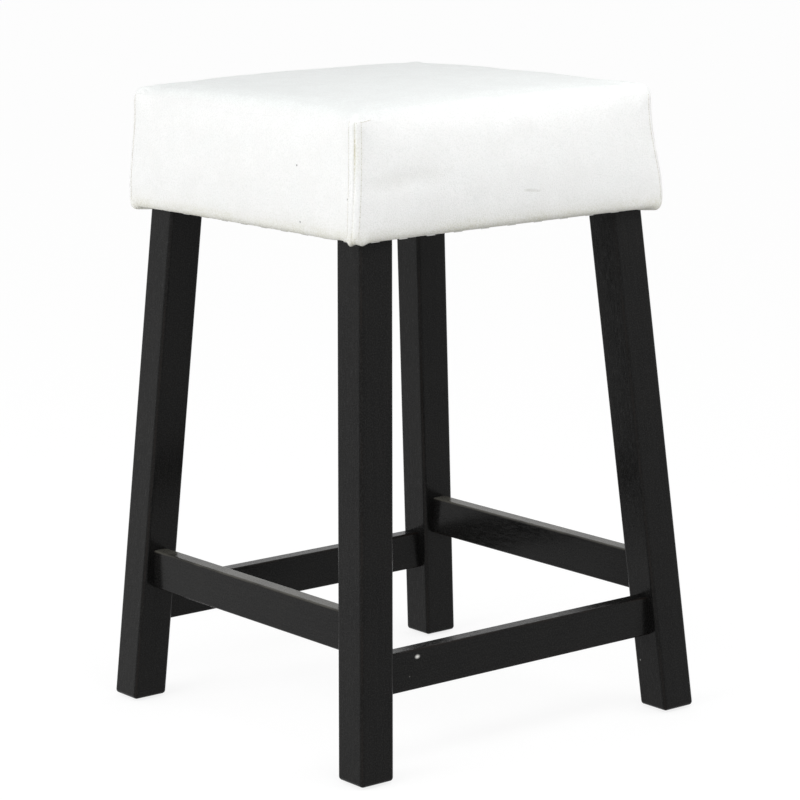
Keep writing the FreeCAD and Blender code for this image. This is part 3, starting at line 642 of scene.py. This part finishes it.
def dress_nodes():
    legs = espresso_wood("espresso_legs", leg_coordinates, LEG_HALF, LEG_HALF)
    bars = {
        True: bar_wood("espresso_low_stretchers", True, LOW_STRETCHER_MIDDLE, False),
        # The high stretchers' tops get a painted reflection
        False: bar_wood("espresso_high_stretchers", False, HIGH_STRETCHER_MIDDLE, True),
    }
    board, steel, plastic = plywood(), zinc_steel(), glide_plastic()
    for corner in CORNERS:
        dress(f"leg_{corner}", legs)
        dress(f"corner_block_{corner}", board)
        dress(f"foot_glide_{corner}", plastic)
    for side in SIDES:
        dress(f"stretcher_{side}", bars[side in ("front", "back")])
        dress(f"rail_{side}", board)
    dress("seat_board", board)
    for node in SCREWS_AND_BOLTS + NAILS_AND_STAPLES:
        dress(node, steel)


# The seat cover's mesh: a top grid, and rows that go down its sides and under its hem


def graded(fine_step, fine_reach, growth, wide_step, length):
    """Distances from 0 to a length: even at first, then wider and wider, then even again."""
    found, step = list(np.arange(0, fine_reach, fine_step)), fine_step * growth
    while step < wide_step and found[-1] + step < length:
        found.append(found[-1] + step)
        step *= growth
    count = max(round((length - found[-1]) / wide_step), 1)
    return np.array(found + list(np.linspace(found[-1], length, count + 1)[1:]))


def columns(fine):
    """Places from one side of the seat's top to the other."""
    if fine:
        found = graded(FINE_STEP, FINE_REACH, STEP_GROWTH, WIDE_STEP, TOP_HALF)
    else:
        found = np.linspace(0, TOP_HALF, round(TOP_HALF / SWELL_STEP) + 1)
    left = found - TOP_HALF
    return np.concatenate([left, -left[-2::-1]])


def rows(fine):
    """Pairs of depth below the top corners and inset from the side, down the side and under the hem."""
    straight = CORNER_HEIGHT - BOTTOM - HEM_HEIGHT
    if fine:
        depths = graded(ROW_STEP, ROW_REACH, STEP_GROWTH, WIDE_STEP, straight)[1:]
    else:
        depths = np.linspace(0, straight, round(straight / SWELL_STEP) + 1)[1:]
    side = [(depth, 0.0) for depth in depths]
    angles = np.linspace(0, math.pi / 2, HEM_ROLL_ROWS + 1)[1:]
    roll = [(straight + HEM_HEIGHT * math.sin(a), HEM_DEPTH * (1 - math.cos(a))) for a in angles]
    reach = TOP_HALF + FLARE - HEM_INNER_HALF
    insets = np.linspace(HEM_DEPTH, reach, HEM_FLAT_ROWS + 1)[1:]
    under = [(straight + HEM_HEIGHT, inset) for inset in insets]
    fold = [(straight + HEM_HEIGHT - HEM_FOLD, reach)]
    return np.array(side + roll + under + fold)


def travelled_round(places):
    """How far each column of a ring is along the square's sides, from the front left corner."""
    along = places[:-1] - places[0]
    return np.concatenate([along + turn * SIDE_LENGTH for turn in range(4)])


def gap_from(travelled, turn):
    """The signed way along the sides from a corner, at most half way round."""
    whole = 4 * SIDE_LENGTH
    return (travelled - turn * SIDE_LENGTH + whole / 2) % whole - whole / 2


def drift_share(depth):
    straight = CORNER_HEIGHT - BOTTOM - HEM_HEIGHT
    top = CORNER_HEIGHT - SEAM_TOP
    return float(np.clip((depth - top) / (straight - top), 0, 1)) ** 2


def drifted(travelled, depth):
    """Slides a ring's columns near each corner, so that the corner's own column follows the seam."""
    moved = travelled.copy()
    for turn, corner in enumerate(CORNERS):
        near = 1 - smooth(np.abs(gap_from(travelled, turn)) / DRIFT_REACH)
        moved += SEAM_DRIFTS[corner] * drift_share(depth) * near
    return moved % (4 * SIDE_LENGTH)


def on_square(travelled):
    """The place on the square's sides that is this far round."""
    turn = np.floor(travelled / SIDE_LENGTH).astype(int) % 4
    along = travelled - turn * SIDE_LENGTH - TOP_HALF
    half = np.full_like(along, TOP_HALF)
    x = np.choose(turn, [along, half, -along, -half])
    y = np.choose(turn, [-half, along, half, -along])
    return np.stack([x, y], 1)


def arc_from_corner(gap):
    """The way over the rounded corner that belongs to a way along the square's sides."""
    inside = np.minimum(np.abs(gap), CORNER_ROUNDING)
    angle = math.pi / 4 - np.arctan((CORNER_ROUNDING - inside) / CORNER_ROUNDING)
    beyond = np.maximum(np.abs(gap) - CORNER_ROUNDING, 0)
    return np.sign(gap) * (CORNER_ROUNDING * angle + beyond)


def rounded(x, y, depth):
    """Rounds a square block's edges and corners. The third number returned is the height from its top."""
    half = TOP_HALF
    from_corner = half - np.minimum(np.abs(x), np.abs(y))
    share = smooth((from_corner - EDGE_ROUNDING_FROM) / EDGE_ROUNDING_OVER)
    radius = CORNER_ROUNDING + (EDGE_ROUNDING - CORNER_ROUNDING) * share
    drop = CORNER_DROP + (EDGE_DROP - CORNER_DROP) * share
    core = np.stack([np.clip(x, radius - half, half - radius), np.clip(y, radius - half, half - radius)], -1)
    core_depth = np.maximum(depth, drop)
    out = np.stack([(x - core[:, 0]) / radius, (y - core[:, 1]) / radius, (core_depth - depth) / drop], -1)
    out /= np.linalg.norm(out, axis=-1)[:, None]
    plan = core + out[:, :2] * radius[:, None]
    return np.column_stack([plan, out[:, 2] * drop - core_depth])


def nearness(shares, sign_x, sign_y):
    """1 at one corner of the seat's plan, 0 along the two sides away from it."""
    return np.clip((1 + sign_x * shares[:, 0]) / 2, 0, 1) * np.clip((1 + sign_y * shares[:, 1]) / 2, 0, 1)


def seat_form(x, y, depth, inset):
    """Places points of the square block on the seat: rounded, flared, crowned and leaning a little."""
    points = rounded(x, y, depth)
    down = np.clip(-points[:, 2] / (CORNER_HEIGHT - BOTTOM), 0, 1)
    flare = smooth((down - FLARE_STARTS) / (FLARE_ENDS - FLARE_STARTS))
    between = smooth((TOP_HALF - np.minimum(np.abs(x), np.abs(y))) / BELLY_OVER)
    belly = smooth((down - BELLY_STARTS) / (BELLY_AT - BELLY_STARTS))
    belly *= 1 - smooth((down - BELLY_AT) / (1 - BELLY_AT))
    tuck = np.clip((down - TUCK_STARTS) / (1 - TUCK_STARTS), 0, 1) ** 2
    half = TOP_HALF + FLARE * flare + BELLY * between * belly
    grown = (half / TOP_HALF)[:, None]
    squared = smooth((inset - HEM_DEPTH) / HEM_SQUARED_OVER)[:, None]
    plan = points[:, :2] * grown * (1 - squared) + np.stack([x, y], -1) * grown * squared
    shares = plan / half[:, None]
    inset = inset + TUCK * between * tuck * (1 - squared[:, 0])
    plan = plan * ((half - inset) / half)[:, None]
    dome = CROWN * (1 - (plan**2).sum(-1) / (2 * TOP_HALF**2)) * (1 - smooth(down / CROWN_FADES_BY))
    height = CORNER_HEIGHT + points[:, 2] + dome
    shift = LEAN_AT_TOP + (LEAN_AT_BOTTOM - LEAN_AT_TOP) * flare
    for signs, pull in CORNER_PULLS:
        shift = shift + pull * flare * nearness(shares, *signs) ** 2
    for signs, lift in CORNER_LIFTS:
        height = height + lift * nearness(shares, *signs) * (1 - smooth(down / CROWN_FADES_BY))
    shift = shift * (1 - squared[:, 0])
    plan = plan + shift[:, None] * np.array([math.cos(AZIMUTH), math.sin(AZIMUTH)])
    return np.concatenate([plan, height[:, None]], -1)


def grid_faces(count):
    """Faces of a square grid of points, looking up, and its border counter-clockwise."""
    steps = count - 1
    faces = [
        (i * count + j, (i + 1) * count + j, (i + 1) * count + j + 1, i * count + j + 1)
        for i in range(steps)
        for j in range(steps)
    ]
    border = [i * count for i in range(steps)] + [steps * count + j for j in range(steps)]
    border += [(steps - i) * count + steps for i in range(steps)] + [steps - j for j in range(steps)]
    return faces, border


def cover_grid(fine):
    """The cover as points of the square block (x, y, depth, inset), its faces and its columns' travel."""
    places = columns(fine)
    grid_x, grid_y = np.meshgrid(places, places, indexing="ij")
    flat = np.zeros(grid_x.size)
    blocks = [np.stack([grid_x.ravel(), grid_y.ravel(), flat, flat], 1)]
    faces, upper = grid_faces(len(places))
    travelled = travelled_round(places)
    ring = len(travelled)
    first = grid_x.size
    for depth, inset in rows(fine):
        around = on_square(drifted(travelled, depth))
        blocks.append(np.column_stack([around, np.full(ring, depth), np.full(ring, inset)]))
        lower = list(range(first, first + ring))
        for k in range(ring):
            following = (k + 1) % ring
            faces.append((upper[following], upper[k], lower[k], lower[following]))
        upper = lower
        first += ring
    return np.concatenate(blocks), faces, travelled


def new_mesh_object(name, points, faces, material=None):
    mesh = bpy.data.meshes.new(name)
    mesh.from_pydata([tuple(point) for point in points], [], faces)
    mesh.validate()
    mesh.shade_smooth()
    if material:
        mesh.materials.append(material)
    item = bpy.data.objects.new(name, mesh)
    bpy.context.scene.collection.objects.link(item)
    return item


def of_points(mesh, name):
    """A mesh's points or their normals, one row each."""
    found = np.empty(len(mesh.vertices) * 3)
    mesh.vertices.foreach_get(name, found)
    return found.reshape(-1, 3)


def evaluated_mesh(item):
    """An object's points and faces with its modifiers applied."""
    evaluated = item.evaluated_get(bpy.context.evaluated_depsgraph_get())
    mesh = evaluated.to_mesh()
    points = of_points(mesh, "co")
    faces = [tuple(face.vertices) for face in mesh.polygons]
    evaluated.to_mesh_clear()
    return points, faces


# The foam's swell


def held_weights(blocks):
    """1 where the seams and the hem hold the cover, less where it may swell."""
    from_corner = TOP_HALF - np.minimum(np.abs(blocks[:, 0]), np.abs(blocks[:, 1]))
    on_side = blocks[:, 2] > HELD_BELOW
    corner = (1 - smooth((from_corner - HELD_CORNER) / HELD_CORNER_FADE)) * on_side
    above_hem = CORNER_HEIGHT - BOTTOM - blocks[:, 2]
    hem = 1 - smooth((above_hem - HELD_HEM) / HELD_HEM_FADE)
    return np.maximum(corner, hem)


def swelled(blocks, faces, ring):
    """Lets a coarse closed copy of the cover swell under the foam. Returns its points and their moves."""
    points = seat_form(*blocks.T)
    closed = faces + [tuple(range(len(points) - 1, len(points) - ring - 1, -1))]
    item = new_mesh_object("swelling_cover", points, closed)
    held = item.vertex_groups.new(name="held")
    for index, weight in enumerate(held_weights(blocks)):
        held.add([index], float(weight), "REPLACE")
    cloth = item.modifiers.new("cloth", "CLOTH")
    for setting, value in SWELL_CLOTH.items():
        setattr(cloth.settings, setting, value)
    cloth.settings.effector_weights.gravity = 0
    cloth.point_cache.frame_start = 1
    cloth.point_cache.frame_end = SWELL_FRAMES
    for step in range(1, SWELL_FRAMES + 1):
        bpy.context.scene.frame_set(step)
    moved = evaluated_mesh(item)[0] - points
    bpy.context.scene.frame_set(1)
    bpy.data.objects.remove(item)
    length = np.linalg.norm(moved, axis=1, keepdims=True)
    return points, moved * (SWELL_LIMIT * np.tanh(length / SWELL_LIMIT) / np.maximum(length, 1e-9))


def swell(points):
    """Moves the fine cover's points as the coarse copy's surface moved."""
    blocks, faces, travelled = cover_grid(False)
    coarse, moved = swelled(blocks, faces, len(travelled))
    triangles = [(a, b, c) for a, b, c, d in faces] + [(a, c, d) for a, b, c, d in faces]
    tree = BVHTree.FromPolygons([tuple(point) for point in coarse], triangles)
    near, touched = [], []
    for point in points:
        place, _, index, _ = tree.find_nearest(tuple(point))
        near.append(tuple(place))
        touched.append(triangles[index])
    near, touched = np.array(near), np.array(touched)
    a, b, c = (coarse[touched[:, k]] for k in range(3))
    whole = np.linalg.norm(np.cross(b - a, c - a), axis=1)
    share_b = np.linalg.norm(np.cross(near - a, c - a), axis=1) / whole
    share_c = np.linalg.norm(np.cross(b - a, near - a), axis=1) / whole
    share_a = 1 - share_b - share_c
    shares = np.stack([share_a, share_b, share_c], 1)
    return points + sum(moved[touched[:, k]] * shares[:, k, None] for k in range(3))


# Sewing, gathers and handling marks on the cover


class Sides:
    """For each side point of the fine cover, its corner and its ways over it from corner and seam."""

    def __init__(self, travelled, first):
        depths = [depth for depth, _ in rows(True)]
        nearest = np.round(travelled / SIDE_LENGTH).astype(int) % 4
        drifts = np.array([SEAM_DRIFTS[corner] for corner in CORNERS])
        from_corner, from_seam = [], []
        for depth in depths:
            moved = drifted(travelled, depth)
            gap = np.choose(nearest, [gap_from(moved, turn) for turn in range(4)])
            arc = arc_from_corner(gap)
            from_corner.append(arc)
            from_seam.append(arc - arc_from_corner(drifts[nearest] * drift_share(depth)))
        self.first = first
        self.ring = len(travelled)
        self.count = len(depths)
        self.corner = np.tile(nearest, len(depths))
        self.from_corner = np.concatenate(from_corner)
        self.from_seam = np.concatenate(from_seam)

    def of_ring(self, values):
        return values.reshape(self.count, self.ring)


def sewn(sides, heights):
    """How far the corner seams, their folded edges and their stitch rows raise or sink the sides."""
    way = sides.from_seam
    below_top = smooth((SEAM_TOP - heights) / SEAM_TAPER)
    ridge = SEAM_RIDGE * (1 - smooth((np.abs(way) - STITCH_ROW_AT + RIDGE_ENDS_BEFORE_ROW) / RIDGE_FADE))
    groove = SEAM_DEPTH * bell(way, SEAM_WIDTH)
    stitched = STITCH_ROW_DEPTH * bell(np.abs(way) - STITCH_ROW_AT, STITCH_ROW_WIDTH)
    along_stub = smooth(way / STUB_STARTS_OVER) * (1 - smooth((way - STUB_LENGTH) / STUB_FADE))
    along_stub = along_stub * (sides.corner == CORNERS.index(STUB_CORNER))
    stub_height = SEAM_TOP + STUB_RISE * way / STUB_LENGTH
    stub = STUB_DEPTH * bell(heights - stub_height, STUB_WIDTH) * along_stub
    stub_lip = STUB_DEPTH * STUB_LIP * bell(heights - stub_height + 2 * STUB_WIDTH, STUB_WIDTH) * along_stub
    return (ridge - groove - stitched) * below_top - stub + stub_lip


def gathered(sides, heights, folds, reach):
    """How far the gathers at the corners move the cover near its hem."""
    low = 1 - smooth((heights - BOTTOM) / reach)
    found = np.zeros(len(heights))
    for turn, corner in enumerate(CORNERS):
        mine = sides.corner == turn
        for centre, width, depth in folds[corner]:
            found += mine * depth * bell(sides.from_corner - centre, width)
    return found * low


def handled(points):
    """A slight hollow where the front of the cover has been leant on."""
    on_front = smooth((-points[:, 1] - FRONT_FROM) / FRONT_OVER)
    east, up = points[:, 0] - HOLLOW_PLACE, points[:, 2] - HOLLOW_HEIGHT
    along = east * math.cos(HOLLOW_TILT) + up * math.sin(HOLLOW_TILT)
    across = up * math.cos(HOLLOW_TILT) - east * math.sin(HOLLOW_TILT)
    return -(HOLLOW_DEPTH * bell(along, HOLLOW_LENGTH) * bell(across, HOLLOW_WIDTH) * on_front)


def wavered(points, amount, rate, seed):
    """A smooth random height over the surface, the same each run."""
    chance = np.random.default_rng(seed)
    found = np.zeros(len(points))
    for _ in range(WAVES):
        direction = chance.normal(size=3)
        direction *= rate * chance.uniform(*WAVE_RATES) / np.linalg.norm(direction)
        found += np.sin(points @ direction + chance.uniform(0, 2 * math.pi))
    return amount * found / math.sqrt(WAVES)


def soil_and_shade(sides, heights, total):
    """Where the colour darkens: dirt and painted shade in the seams, most of all in their upper half, a haze
    of dirt beside them, and painted shade near the hem.
    """
    darkened = SOIL_AND_SHADE_LEAST + SOIL_AND_SHADE_MORE * bell(heights - DARKENED_HEIGHT, DARKENED_REACH)
    # Dirt and painted shade along the seams
    line = bell(sides.from_seam, SOIL_AND_SHADE_WIDTH) * darkened * smooth((SEAM_TOP - heights) / SEAM_TAPER)
    beside = HAZE * bell(sides.from_seam - HAZE_AT, HAZE_WIDTH)
    haze = beside * bell(heights - DARKENED_HEIGHT, DARKENED_REACH)
    # Painted shade towards the hem
    hem = sum(most * (1 - smooth((heights - BOTTOM) / reach)) for most, reach in HEM_SHADE)
    found = np.zeros(total)
    found[sides.first :] = np.clip(line + haze + hem, 0, 1)
    return found


def add_seat_cover():
    blocks, faces, travelled = cover_grid(True)
    points = seat_form(*blocks.T)
    points = swell(points)
    item = new_mesh_object("seat_cover", points, faces, faux_leather())
    normals = of_points(item.data, "normal")
    sides = Sides(travelled, len(columns(True)) ** 2)
    heights = points[sides.first :, 2].copy()

    push = wavered(points, WAVE_HEIGHT, WAVE_RATE, 5) + wavered(points, WAVE_HEIGHT / 3, WAVE_RATE * 3, 9)
    push *= smooth((points[:, 2] - BOTTOM) / WAVES_ABOVE_HEM)
    push += handled(points)
    push[sides.first :] += sewn(sides, heights) + gathered(sides, heights, PINCHES, PINCH_HEIGHT)
    points += push[:, None] * normals
    points[sides.first :, 2] -= gathered(sides, heights, HEM_FOLDS, GATHER_HEIGHT)
    item.data.vertices.foreach_set("co", points.ravel())
    item.data.update()

    # The darkening for the material: dirt and painted shade
    attribute = item.data.attributes.new("soil_and_shade", "FLOAT", "POINT")
    attribute.data.foreach_set("value", soil_and_shade(sides, heights, len(points)).astype(np.float32))
    finer = item.modifiers.new("finer", "SUBSURF")
    finer.levels = finer.render_levels = 1
    finer.boundary_smooth = "PRESERVE_CORNERS"
    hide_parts("cover", "foam_pad", "side_padding")
    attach(item, BODY)
    return item, points, sides


# Stitches


def down_side(points, sides, turn, way, levels):
    """A point on each of the upper rows of the sides, always as far from a corner's seam."""
    placed = points[sides.first :].reshape(sides.count, sides.ring, 3)
    ways = sides.of_ring(sides.from_seam)
    mine = np.flatnonzero(sides.of_ring(sides.corner)[0] == turn)
    found = []
    for level in range(levels):
        order = mine[np.argsort(ways[level, mine])]
        found.append([np.interp(way, ways[level, order], placed[level, order, axis]) for axis in range(3)])
    return np.array(found)


def row_down_side(points, sides, turn, way):
    """Points beside a corner's seam, from its top to the hem."""
    line = down_side(points, sides, turn, way, sides.count)
    keep = (line[:, 2] < SEAM_TOP - STITCHED_BELOW) & (line[:, 2] > BOTTOM + STITCHED_ABOVE)
    return line[keep]


def stub_line(points, sides, turn):
    """The line of the short seam that leads off the top of a corner's seam."""
    found = []
    for way in np.linspace(STUB_STITCHES_FROM, STUB_LENGTH, STUB_STITCH_POINTS):
        down = down_side(points, sides, turn, way, sides.count // 2)[::-1]
        height = SEAM_TOP + STUB_RISE * way / STUB_LENGTH - STUB_STITCHES_BELOW
        found.append([np.interp(height, down[:, 2], down[:, axis]) for axis in range(3)])
    return np.array(found)


def spaced(line, pitch):
    """Points at even distances along a line of points."""
    steps = np.linalg.norm(np.diff(line, axis=0), axis=1)
    reached = np.concatenate([[0], np.cumsum(steps)])
    wanted = np.arange(0, reached[-1], pitch)
    return np.stack([np.interp(wanted, reached, line[:, axis]) for axis in range(3)], 1)


def ring_round(middle, first, second, radius):
    """Points on a circle whose plane two directions span."""
    angles = [2 * math.pi * k / THREAD_SIDES for k in range(THREAD_SIDES)]
    return [middle + (first * math.cos(a) + second * math.sin(a)) * radius for a in angles]


def thread(start, end, outward, chance):
    """One stitch: a thread that comes out of one needle hole, lies on the leather and dives into the next."""
    along = (end - start).normalized()
    across = along.cross(outward).normalized()
    sway = chance.uniform(-1, 1) * THREAD_RADIUS * THREAD_SWAY
    rings = []
    for share, lift, size in THREAD_PROFILE:
        sideways = across * sway * math.sin(math.pi * share)
        centre = start.lerp(end, share) + outward * lift * THREAD_RADIUS + sideways
        rings.append(ring_round(centre, across, outward, THREAD_RADIUS * size))
    return rings


def needle_hole(centre, outward, along):
    """A small sunken disc, as two rings and a middle."""
    across = along.cross(outward).normalized()
    return [ring_round(centre + outward * lift, across, along, radius) for radius, lift in HOLE_PROFILE]


def lofted(groups):
    """Points and faces of rings joined one to the next, each group closed at both ends."""
    points, faces = [], []
    for rings in groups:
        size = len(rings[0])
        first = len(points)
        for ring in rings:
            points += ring
        for level in range(len(rings) - 1):
            low = first + level * size
            for k in range(size):
                following = (k + 1) % size
                faces.append((low + k, low + following, low + size + following, low + size + k))
        faces.append(tuple(range(first + size - 1, first - 1, -1)))
        last = first + (len(rings) - 1) * size
        faces.append(tuple(range(last, last + size)))
    return points, faces


def add_stitches(cover, points, sides):
    """Sews two rows of stitches along each corner seam, and one along the short seam at its top."""
    tree = BVHTree.FromPolygons(*evaluated_mesh(cover))
    chance = np.random.default_rng(3)
    threads, holes = [], []
    for turn in range(4):
        lines = [row_down_side(points, sides, turn, side * STITCH_ROW_AT) for side in (-1, 1)]
        if turn == CORNERS.index(STUB_CORNER):
            lines.append(stub_line(points, sides, turn))
        for line in lines:
            marks = []
            for place in spaced(line, STITCH_PITCH):
                found, outward, _, _ = tree.find_nearest(tuple(place))
                marks.append((found, outward))
            for (start, first_out), (end, second_out) in zip(marks, marks[1:]):
                outward = (first_out + second_out).normalized()
                first, last = (start.lerp(end, share) for share in THREAD_ENDS)
                threads.append(thread(first, last, outward, chance))
                holes.append(needle_hole(start, first_out, (end - start).normalized()))
    for name, groups, material in (
        ("seam_stitches", threads, sewing_thread()),
        ("needle_holes", holes, needle_hole_shade()),
    ):
        item = new_mesh_object(name, *lofted(groups), material)
        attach(item, BODY)


# The dust cover under the seat


def notched_places():
    """Grid lines across the dust cover, with lines on its notches' edges."""
    inner = np.linspace(-NOTCH_FROM, NOTCH_FROM, 2 * round(NOTCH_FROM / DUST_STEP) + 1)
    outer = np.linspace(NOTCH_FROM, DUST_HALF, round((DUST_HALF - NOTCH_FROM) / DUST_STEP) + 1)[1:]
    return np.concatenate([-outer[::-1], inner, outer])


def add_dust_cover():
    """A thin black cloth pulled flat under the rails, sagging a little between its staples."""
    places = notched_places()
    count = len(places)
    x, y = (axis.ravel() for axis in np.meshgrid(places, places, indexing="ij"))
    faces, _ = grid_faces(count)
    centre_x = np.array([x[list(face)].mean() for face in faces])
    centre_y = np.array([y[list(face)].mean() for face in faces])
    kept = (np.abs(centre_x) < NOTCH_FROM) | (np.abs(centre_y) < NOTCH_FROM)
    faces = [face[::-1] for face, keep in zip(faces, kept) if keep]
    used = sorted({index for face in faces for index in face})
    renamed = {old: new for new, old in enumerate(used)}
    x, y = x[used], y[used]
    from_edge = DUST_HALF - np.maximum(np.abs(x), np.abs(y))
    along = np.where(np.abs(x) > np.abs(y), y, x)
    between = 1 - np.cos(2 * math.pi * along / STAPLE_PITCH)
    pulled = DUST_PUCKER * between * np.exp(-from_edge / DUST_PUCKER_REACH)
    sag = DUST_SAG * smooth((from_edge - DUST_HELD) / DUST_SAG_OVER)
    flat = np.stack([x, y, np.zeros(len(x))], 1)
    ripple = wavered(flat, DUST_RIPPLE, DUST_RIPPLE_RATE, 11)
    z = DUST_HEIGHT - sag - pulled + ripple * smooth((from_edge - DUST_HELD) / DUST_RIPPLE_OVER)
    faces = [tuple(renamed[index] for index in face) for face in faces]
    item = new_mesh_object("dust_sheet", np.stack([x, y, z], 1), faces, dust_cloth())
    thick = item.modifiers.new("thickness", "SOLIDIFY")
    thick.thickness = DUST_THICKNESS
    thick.offset = -1
    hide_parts("dust_cover")
    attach(item, BODY)


# Camera, floor and light


def add_camera():
    side = Vector((math.cos(AZIMUTH), math.sin(AZIMUTH), 0))
    level = math.cos(ELEVATION)
    back = Vector((math.sin(AZIMUTH) * level, -math.cos(AZIMUTH) * level, math.sin(ELEVATION)))
    data = bpy.data.cameras.new("camera")
    data.lens = LENS_MM
    camera = bpy.data.objects.new("camera", data)
    bpy.context.scene.collection.objects.link(camera)
    camera.location = Vector((0, 0, AIM_HEIGHT)) + side * AIM_TO_THE_RIGHT + back * DISTANCE
    camera.rotation_mode = "QUATERNION"
    camera.rotation_quaternion = (-back).to_track_quat("-Z", "Y") @ Quaternion((0, 0, 1), ROLL)
    bpy.context.scene.camera = camera


def seen_directly(tree):
    """1 for what the camera sees, straight or in a gloss or through glass, and 0 for light that bounces."""
    path = add_node(tree, "ShaderNodeLightPath")
    straight = compute(tree, "MAXIMUM", path.outputs["Is Camera Ray"], path.outputs["Is Glossy Ray"])
    return compute(tree, "MAXIMUM", straight, path.outputs["Is Transmission Ray"])


def add_floor():
    half = FLOOR_HALF
    corners = [(-half, -half, 0), (half, -half, 0), (half, half, 0), (-half, half, 0)]
    material, tree, shader = new_material("studio_floor")
    tree.nodes.remove(shader)
    output = next(item for item in tree.nodes if item.type == "OUTPUT_MATERIAL")
    lit = add_node(tree, "ShaderNodeBsdfDiffuse")
    lit.inputs["Color"].default_value = (*FLOOR_COLOUR, 1)
    shaded = add_node(tree, "ShaderNodeBsdfDiffuse")
    shaded.inputs["Color"].default_value = (FLOOR_SHADOW_SHARE, FLOOR_SHADOW_SHARE, FLOOR_SHADOW_SHARE, 1)
    glow = add_node(tree, "ShaderNodeEmission")
    glow.inputs["Strength"].default_value = FLOOR_GLOW
    shown = add_node(tree, "ShaderNodeAddShader", shaded.outputs[0], glow.outputs[0])
    chosen = add_node(tree, "ShaderNodeMixShader", seen_directly(tree), lit.outputs[0], shown.outputs[0])
    feed(tree, output.inputs["Surface"], chosen.outputs[0])
    floor = new_mesh_object("studio_floor", corners, [(0, 1, 2, 3)], material)


def add_world():
    """A plain white room: brighter low down than overhead, and pure white where it is seen."""
    world = bpy.data.worlds.new("studio")
    world.use_nodes = True
    bpy.context.scene.world = world
    tree = world.node_tree
    sky = next(item for item in tree.nodes if item.type == "BACKGROUND")
    output = next(item for item in tree.nodes if item.type == "OUTPUT_WORLD")
    direction = add_node(tree, "ShaderNodeTexCoord").outputs["Generated"]
    _, _, up = split(tree, direction)
    feed(tree, sky.inputs["Strength"], spread(tree, up, 0.0, 1.0, SKY_AT_HORIZON, SKY_AT_ZENITH))
    white = add_node(tree, "ShaderNodeBackground")
    chosen = add_node(tree, "ShaderNodeMixShader", seen_directly(tree), sky.outputs[0], white.outputs[0])
    for background in (sky, white):
        background.inputs["Color"].default_value = (1, 1, 1, 1)
    feed(tree, output.inputs["Surface"], chosen.outputs[0])


def add_softbox(name, place, power, size):
    data = bpy.data.lights.new(name, "AREA")
    data.shape = "RECTANGLE"
    data.size, data.size_y = size
    data.energy = power
    lamp = bpy.data.objects.new(name, data)
    bpy.context.scene.collection.objects.link(lamp)
    lamp.location = place
    towards = Vector((0, 0, SEAT_MIDDLE)) - Vector(place)
    lamp.rotation_mode = "QUATERNION"
    lamp.rotation_quaternion = towards.to_track_quat("-Z", "Y")
    lamp.visible_camera = False
    lamp.visible_glossy = False


def add_studio():
    add_floor()
    add_world()
    add_softbox("key", KEY_PLACE, KEY_POWER, KEY_SIZE)
    add_softbox("fill", FILL_PLACE, FILL_POWER, FILL_SIZE)
    bpy.context.scene.view_settings.view_transform = "Standard"


add_camera()
add_studio()
dress_nodes()
add_stitches(*add_seat_cover())
add_dust_cover()
